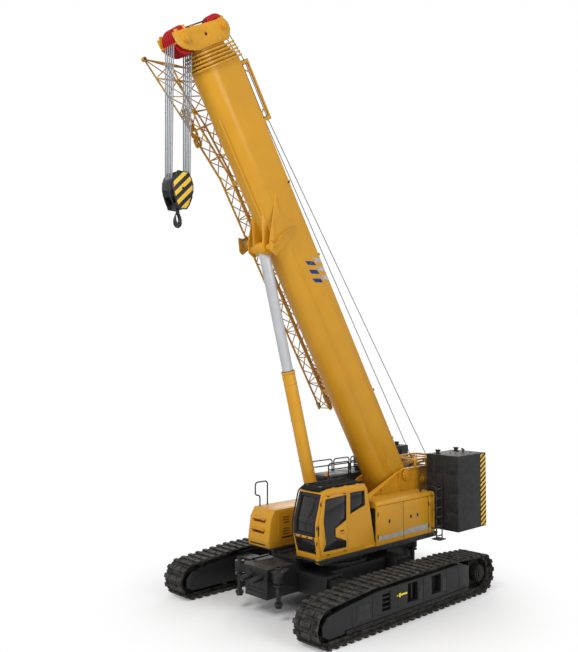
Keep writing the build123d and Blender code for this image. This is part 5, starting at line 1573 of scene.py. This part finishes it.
def over_pin(pin, radius, start, end, y, steps=18):
    """Points round a sheave in the boom's frame: angles from the boom's back direction, towards its tip."""
    turns = [radians(start + (end - start) * k / steps) for k in range(steps + 1)]
    return [pin + outward * radius * cos(turn) + along * radius * sin(turn) + Vector((0, y,
        0)) for turn in turns]


# each winch: its middle, where its rope leaves the drum, and the side of the boom that it lands on
winches = ((Vector((-3.72, 0, 2.95)), Vector((-0.1, 0, 0.32)), 0.16, -1),
    (Vector((-4.48, 0, 2.95)), Vector((-0.13, 0, 0.31)), 0.19, 1))
guide_low, guide_high, guide_rope_u = 11.46, 13.02, 0.688
guide_rope_y = 0.066
back_parts = 60
back_routes = []
for centre, leave, y, hand in winches:
    start = centre + leave + Vector((0, y, 0))
    end = on_boom(guide_low, guide_rope_u, guide_rope_y * hand)
    back_routes.append([start.lerp(end, k / back_parts) for k in range(back_parts + 1)])
back_ropes = wire_ropes("back_ropes", back_routes, None, dark_rope, 0.06)
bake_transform(back_ropes)
head_routes, crossing_routes = [], []
for way in (-1, 1):
    y = way * sheave_pitch
    low_rope, high_rope = on_boom(guide_low, guide_rope_u, way * guide_rope_y), on_boom(guide_high,
        guide_rope_u, way * guide_rope_y)
    head_routes.append([low_rope, high_rope] + over_pin(rear_pin, rope_radius, 22, 90, y))
    across = [on_boom(head_s + rope_radius, rear_u, y), on_boom(head_s + rope_radius, front_u, y)]
    crossing_routes.append([across[0].lerp(across[1], k / 6) for k in range(7)])
wire_ropes("guide_ropes", head_routes, "head_section", dark_rope, 0.04)
wire_ropes("crossing_ropes", crossing_routes, "head_section", dark_rope, 0.04)

# ---- Luffing cylinder ----
# One long cylinder under the boom: a hard-chromed rod with a forged eye, a painted barrel
# with a screwed gland ring at its nose, and an oil pipe clipped along its right side.
rod_steel = coating("rod_steel", (0.52, 0.53, 0.55), 0.34, worn=(0.55, 0.56, 0.58),
    metallic=0.25, ripple=0.001, specks=0.0)
rod_piece = eased("luff_rod", rod_steel, 0.004, 24.0)
eased("luff_barrel", ochre_paint, 0.006, 24.0)
eye = Vector((2.661, 0, 9.755))
rod_piece.data.materials.append(ochre_paint)
for face in rod_piece.data.polygons:
    if (face.center - eye).length < 0.3:
        face.material_index = 1
down = Vector((-0.266695, 0, -0.963781))
barrel_nose, barrel_radius = 3.45, 0.185


def ring_on(start, end, radius, inner, sides=48):
    """A short collar round the cylinder between two distances from the rod's eye."""
    spin = Matrix.Translation(eye) @ down.to_track_quat("Y", "Z").to_matrix().to_4x4()
    profile = [(start, inner), (start, radius - 0.006), (start + 0.006, radius), (end - 0.006, radius),
        (end, radius - 0.006), (end, inner)]
    bmesh.ops.transform(tool, matrix=spin, verts=turned((0, 0, 0), profile, sides))


ring_on(barrel_nose - 0.004, barrel_nose + 0.055, barrel_radius + 0.014, 0.155)
ring_on(barrel_nose + 0.34, barrel_nose + 0.365, barrel_radius + 0.007, barrel_radius - 0.002)
ring_on(7.86, 7.98, barrel_radius + 0.01, barrel_radius - 0.002)
for distance in (3.69, 4.9, 6.1, 7.2, 7.78):
    spot = eye + down * distance
    add_box((spot.x - 0.04, -barrel_radius - 0.07, spot.z - 0.02), (spot.x + 0.04, -barrel_radius + 0.012,
        spot.z + 0.02))
settle("barrel_collars", ochre_paint, body="barrel", smooth=30.0)
ring_on(barrel_nose - 0.016, barrel_nose - 0.004, 0.168, 0.151)
settle("rod_wiper", rubber, body="barrel")
for way in (-1, 1):
    add_axle(eye, way * 0.15, way * 0.163, 0.125, 36)
ring_on(0.2, 0.235, 0.156, 0.148)
settle("rod_eye_rings", rod_steel, 0.003, "rod")

# ---- Fly jib ----
# A stowed lattice extension: four tubular chords laced with thin tube on every side, pierced
# plates at the root, and a flared head with a pair of rollers. Ochre paint, drawn darker as
# painted shade for the boom's shadow over the jib.
jib_near, jib_far = -0.85, -1.28
jib_front, jib_back = -0.6, -0.17
jib_tail, jib_end, jib_bays = 2.77, 11.9, 10
jib_flare, flare_front = 10.4, -0.88
# a darker copy of the ochre paint: painted shade, since the jib lies in the boom's shadow
jib_ochre_painted_shade = coating("jib_ochre_painted_shade", shaded(ochre, 0.86), 0.42, worn=(0.34, 0.2, 0.06),
    dust=0.05)


def jib_corner(s, front, far):
    """A corner of the jib at a distance along the boom."""
    lean = max(0.0, s - jib_flare) / (jib_end - jib_flare)
    u = jib_front + (flare_front - jib_front) * lean if front else jib_back - 0.16 * lean
    return on_boom(s, u, jib_far if far else jib_near)


corners = ((True, True), (True, False), (False, False), (False, True))
chords = [[jib_corner(s, *corner) for s in (jib_tail - 0.02, jib_flare, jib_end)] for corner in corners]
laces = []
bay = (jib_end - jib_tail) / jib_bays
for k in range(jib_bays + 1):
    s = jib_tail + k * bay
    for a, b in zip(corners, corners[1:] + corners[:1]):
        laces.append([jib_corner(s, *a), jib_corner(s, *b)])
        if k < jib_bays:
            first, second = (a, b) if k % 2 else (b, a)
            laces.append([jib_corner(s, *first), jib_corner(s + bay / 2, *second)])
            laces.append([jib_corner(s + bay / 2, *second), jib_corner(s + bay, *first)])
tips = (on_boom(14.05, -1.35, jib_far), on_boom(13.7, -0.9, -0.9), on_boom(13.4, -0.48, -0.76),
    on_boom(13.7, -0.9, -1.1))
struts = [[jib_corner(jib_end, *corner), tip] for corner, tip in zip(corners, tips)]
# the flared head is laced as well, between its neighbouring struts
for left, right in zip(struts, struts[1:] + struts[:1]):
    for k in range(4):
        left_low, left_high = (left[0].lerp(left[1], (k + j) / 4) for j in (0, 1))
        right_low, right_high = (right[0].lerp(right[1], (k + j) / 4) for j in (0, 1))
        laces.append([left_low, right_high] if k % 2 else [right_low, left_high])
        laces.append([left_high, right_high])
struts += [[tips[0], tips[2]], [tips[1], tips[3]]]
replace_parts(tubing("jib_chords", chords, 0.03, 0.3, jib_ochre_painted_shade, "base_boom", sides=12), "fly_jib")
tubing("jib_lacing", laces, 0.015, 0.0, jib_ochre_painted_shade, "base_boom", sides=8)
tubing("jib_head_struts", struts, 0.024, 0.0, jib_ochre_painted_shade, "base_boom", sides=10)


def pierced_strip(start, run, across, count, hole, thick):
    """A flat strip with a row of round holes: start corner, one cell's run and width, and its thickness."""
    long, wide = run.normalized(), across.normalized()
    for cell in range(count):
        middle = start + run * (cell + 0.5) + across * 0.5
        loops = []
        for lift in (Vector(), Vector(thick)):
            square, circle = [], []
            for k in range(16):
                angle = 2 * pi * k / 16 + pi / 16
                c, s = cos(angle), sin(angle)
                reach = 0.5 / max(abs(c), abs(s))
                square.append(tool.verts.new(middle + run * c * reach + across * s * reach + lift))
                circle.append(tool.verts.new(middle + long * c * hole + wide * s * hole + lift))
            loops.append((square, circle))
        for k in range(16):
            j = (k + 1) % 16
            for a, b in loops + list(zip(*loops))[::-1]:
                tool.faces.new((a[k], a[j], b[j], b[k]))


# pierced plates beside the near chords, at the root and tail
for low_s, u, y, count in ((11.45, -1.0, jib_far + 0.06, 4), (11.2, -0.5, jib_near + 0.034, 5)):
    pierced_strip(on_boom(low_s, u, y), along * 0.27 + outward * 0.012, outward * 0.25, count, 0.055,
        (0, 0.01, 0))
for u in (-0.63, -0.28):
    pierced_strip(on_boom(jib_tail + 0.05, u, jib_near + 0.034), along * 0.17, outward * 0.15, 8, 0.04,
        (0, 0.01, 0))
for y in (jib_far - 0.034, jib_near + 0.024):
    for low_u, high_u in ((-0.63, -0.5), (-0.26, -0.11)):
        outline = ((-0.06, low_u), (0.2, low_u), (0.14, high_u), (-0.06, high_u))
        boom_plate([(jib_tail + s, u) for s, u in outline], y, 0.012)
# the saddle plates round the middle bracket, and the lugs at the flared head
far, near = jib_far - 0.06, jib_near + 0.05
for u in (-0.76, -0.3):
    add_sheet([on_boom(s, u, y) for s, y in ((8.3, far), (8.3, near), (8.56, near), (8.56, far))],
        outward * 0.016)
for y in (jib_far - 0.075, jib_far - 0.035):
    boom_plate(((8.22, -0.92), (8.34, -0.96), (8.7, -0.8), (8.62, -0.7), (8.56, -0.24), (8.3, -0.24)), y,
        0.014)
for tip in (tips[0], tips[2]):
    add_axle(tip, tip.y - 0.045, tip.y + 0.045, 0.06, 24)
settle("jib_plates", jib_ochre_painted_shade, body="base_boom")
for tip in (tips[0], tips[2]):
    add_axle(tip, tip.y - 0.052, tip.y + 0.052, 0.03, 20)
settle("jib_rollers", rubber, body="base_boom")
eased("jib_brackets", ochre_paint, 0.004)

# ---- Falls of rope ----
# Ten falls of galvanised wire rope, side by side over five sheaves, taut from the head to the
# block. They shorten as the block is hoisted.
block_mid = Vector((5.48339, 0, 10.93))
head_mid = Vector((5.48339, 0, 14.62732))
block_pitch = 0.066
rope_zinc = coating("rope_zinc", (0.27, 0.29, 0.31), 0.55, worn=(0.28, 0.3, 0.32),
    ripple=0.0005, specks=0.1)
fall_routes, head_wraps, block_wraps = [], [], []
for place in range(-2, 3):
    low_y, high_y = place * block_pitch, place * sheave_pitch
    for way in (-1, 1):
        low = block_mid + Vector((way * rope_radius, low_y, 0))
        high = head_mid + Vector((way * rope_radius, high_y, 0))
        fall_routes.append([low.lerp(high, j / 8) for j in range(9)])
    for wraps, mid, y, turn in ((head_wraps, head_mid, high_y, 1), (block_wraps, block_mid, low_y, -1)):
        wraps.append([mid + Vector((rope_radius * cos(pi * j / 16), y,
            turn * rope_radius * sin(pi * j / 16))) for j in range(17)])
falls = wire_ropes("rope_falls", fall_routes, "hanging_ropes", rope_zinc, 0.028, 0.0185)
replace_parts(falls, "hoist_falls")
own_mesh(falls)
wire_ropes("head_rope_wraps", head_wraps, "hanging_ropes", dark_rope, 0.03)
wire_ropes("block_rope_wraps", block_wraps, "hook_block", dark_rope, 0.03)

# ---- Hook block ----
# Two flame-cut side plates with hazard stripes, five sheaves between them, guard bars down
# each end, lifting eyes on top and a forged cross head that carries the hook.
block_stripes = hazard("block_stripes", (0.74, 0, 0.74), 0.204)
block_black = coating("block_black", (0.008, 0.008, 0.009), 0.4, worn=0.03, dust=0.04)
block_inner, block_outer = 0.2, 0.23
plate_points = ((-0.16, 0.42), (0.16, 0.42), (0.255, 0.28), (0.308, 0.13), (0.308, -0.06), (0.13, -0.5),
    (-0.13, -0.5), (-0.308, -0.06), (-0.308, 0.13), (-0.255, 0.28))


def on_block(x, y, z):
    """A point on the hook block, from the middle of its sheaves."""
    return block_mid + Vector((x, y, z))


for way in (-1, 1):
    add_sheet([on_block(x, way * block_inner, z) for x, z in plate_points],
        (0, way * (block_outer - block_inner), 0))
settle("block_plates", block_stripes, 0.004, "hook_block")
for way in (-1, 1):
    band_round([on_block(x, way * (block_outer - 0.002), z) for x, z in plate_points], 0.009,
        (0, way * 0.007, 0))
    add_axle(block_mid, way * block_outer, way * (block_outer + 0.022), 0.03, 28)
    for x in (-0.15, 0.15):
        add_axle(on_block(x, 0, 0.375), way * block_outer, way * (block_outer + 0.02), 0.026, 6)
    # the painted-out inner face, and the curved covers at both ends
    outline = [on_block(x * 1.006, way * (block_outer - 0.003), z * 1.006) for x, z in plate_points]
    add_sheet(outline, (0, -way * 0.034, 0))
    for end in (-1, 1):
        cover = [(0.286, 0.205), (0.314, 0.13), (0.314, -0.06), (0.25, -0.225)]
        for (x_a, z_a), (x_b, z_b) in zip(cover, cover[1:]):
            outline = ((x_a, 0, z_a), (x_a, block_inner, z_a), (x_b, block_inner, z_b), (x_b, 0, z_b))
            add_sheet([on_block(end * x, way * y, z) for x, y, z in outline], (end * 0.008, 0, 0))
for x in (-0.15, 0.15):
    add_axle(on_block(x, 0, 0.375), -block_inner, block_inner, 0.024, 16)
for y in (-0.1, 0.1):
    turns = [a * pi / 10 for a in range(21)]
    rim = [on_block(0, y, 0.36) + Vector((0.042 * cos(turn), 0, 0.042 * sin(turn))) for turn in turns]
    add_tube(rim, 0.013, 8)
    add_rod(on_block(0, y, 0.28), on_block(0, y, 0.33), 0.018, 10)
add_axle(on_block(0, 0, 0.375), -0.205, 0.205, 0.018, 12)
add_box((block_mid.x - 0.11, -block_inner, 10.44), (block_mid.x + 0.11, block_inner, 10.55))
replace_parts(settle("block_frame", block_black, 0.003, "hook_block"), "hook_block")
runs = []
for end in (-1, 1):
    for y in (-0.14, 0.14):
        bar = ((0.318, -0.04), (0.335, -0.16), (0.235, -0.4), (0.1, -0.49))
        runs.append([on_block(end * x, y, z) for x, z in bar])
tubing("block_guard_bars", runs, 0.015, 0.1, block_black, "hook_block", sides=10)
sheave_set("block_sheave_set", "block_sheaves", block_mid, 5, block_pitch, 0.303, groove_bottom,
    block_black, "block_sheave_stack")

# ---- Hook ----
# A forged single hook in the cross head, on a thrust bearing, with a sprung safety latch over
# its throat. Black forging, polished where the sling bears.
hook_black = coating("hook_black", (0.009, 0.009, 0.01), 0.38, worn=(0.06, 0.06, 0.055), dust=0.05)
hook_x, bowl_z = 5.48339, 10.135
# the forging's centre line from the shank round the bowl to the tip: x, z, radius
forging = ((0, 0.43, 0.05), (0, 0.33, 0.05), (0.002, 0.26, 0.047), (-0.008, 0.2, 0.046),
    (-0.036, 0.15, 0.046), (-0.06, 0.1, 0.046), (-0.072, 0.04, 0.048), (-0.07, -0.02, 0.053),
    (-0.05, -0.07, 0.06), (-0.014, -0.096, 0.064), (0.028, -0.09, 0.062), (0.06, -0.056, 0.054),
    (0.076, -0.006, 0.046), (0.08, 0.05, 0.038), (0.074, 0.1, 0.03), (0.064, 0.135, 0.016))
points = [Vector((hook_x + x, 0, bowl_z + z)) for x, z, radius in forging]
add_tube(points, [radius for x, z, radius in forging], 20)
add_post((hook_x, 0), bowl_z + 0.3, 10.545, 0.0525, 28)
add_post((hook_x, 0), 10.552, 10.584, 0.094, 32)
add_post((hook_x, 0), 10.584, 10.6, 0.06, 6)
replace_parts(settle("hook_forging", hook_black, body="hook", smooth=42.0), "hook")
latch = [(0.0, 0.235), (0.024, 0.235), (0.086, 0.142), (0.074, 0.128), (0.02, 0.2), (0.0, 0.205)]
add_sheet([(hook_x + x, -0.018, bowl_z + z) for x, z in latch], (0, 0.036, 0))
add_axle((hook_x + 0.008, bowl_z + 0.222), -0.056, 0.056, 0.012, 12)
settle("hook_latch", hook_black, 0.003, "hook")

# ---- Studio ----
# A pale floor that fades into a white backdrop, broad soft lamps, and a nearly level camera
# that looks at the cab's front corner from a man-lift's height.
ground, tree, matt = shader("studio_floor", {"Base Color": (0.92, 0.92, 0.92, 1), "Roughness": 0.9})
glow = add_node(tree, "Emission", {"Color": (1, 1, 1, 1), "Strength": 1.0})
away = add_node(tree, "VectorMath", {0: add_node(tree, "TexCoord", give="Object")}, "Value",
    operation="LENGTH")
fade = add_node(tree, "MapRange", {"Value": away, "From Min": 2.8, "From Max": 7.0},
    interpolation_type="SMOOTHSTEP")
seen = figure(tree, "MULTIPLY", fade, add_node(tree, "LightPath", give="Is Camera Ray"))
blend = add_node(tree, "MixShader", {"Fac": seen, 1: matt.outputs["BSDF"], 2: glow})
feed(tree, tree.nodes["Material Output"], {"Surface": blend})
bmesh.ops.create_grid(tool, x_segments=1, y_segments=1, size=90)
floor = into_scene(bpy.data.objects.new("studio_floor", taken("studio_floor")))
floor.data.materials.append(ground)
floor.location.z = -0.004

# the world is white to the camera, through glass and in mirrors, and dimmer as a light
scene.world = bpy.data.worlds.new("studio")
scene.world.use_nodes = True
tree = scene.world.node_tree
plain = add_node(tree, "LightPath", give="Is Camera Ray")
rays = plain.node.outputs
straight = figure(tree, "MAXIMUM", plain, rays["Is Transmission Ray"])
mirrored = figure(tree, "MAXIMUM", straight, rays["Is Glossy Ray"])
strength = spread(tree, mirrored, 0.0, 1.0, 0.34, 1.0)
feed(tree, tree.nodes["Background"], {"Color": (1, 1, 1, 1), "Strength": strength})


def aimed(name, data, spot, view):
    """Stand a lamp or a camera at a point, looking one way."""
    holder = into_scene(bpy.data.objects.new(name, data))
    holder.location = spot
    holder.rotation_euler = view.to_track_quat("-Z", "Y").to_euler()
    return holder


def lamp(name, spot, target, size, power):
    """A square soft lamp aimed at a point."""
    light = bpy.data.lights.new(name, "AREA")
    light.size = size
    light.energy = power
    aimed(name, light, spot, Vector(target) - Vector(spot))


lamp("key_lamp", (24, 6, 26), (0, 0, 5), 14, 6200)
lamp("side_lamp", (2, 30, 16), (0, 0, 5), 14, 3400)
lamp("back_lamp", (-22, -18, 18), (0, 0, 6), 14, 2000)

camera_place = Vector((16.355, 15.414, 6.706))
camera_heading = -2.331
camera_pitch = 0.046
camera_lens = 42.2
view = Vector((cos(camera_heading) * cos(camera_pitch), sin(camera_heading) * cos(camera_pitch),
    sin(camera_pitch)))
camera_data = bpy.data.cameras.new("camera")
camera_data.sensor_fit = "VERTICAL"
camera_data.sensor_height = 36
camera_data.lens = camera_lens
camera_data.clip_end = 400
camera = aimed("camera", camera_data, camera_place, view)
scene.camera = camera
scene.view_settings.view_transform = "Standard"
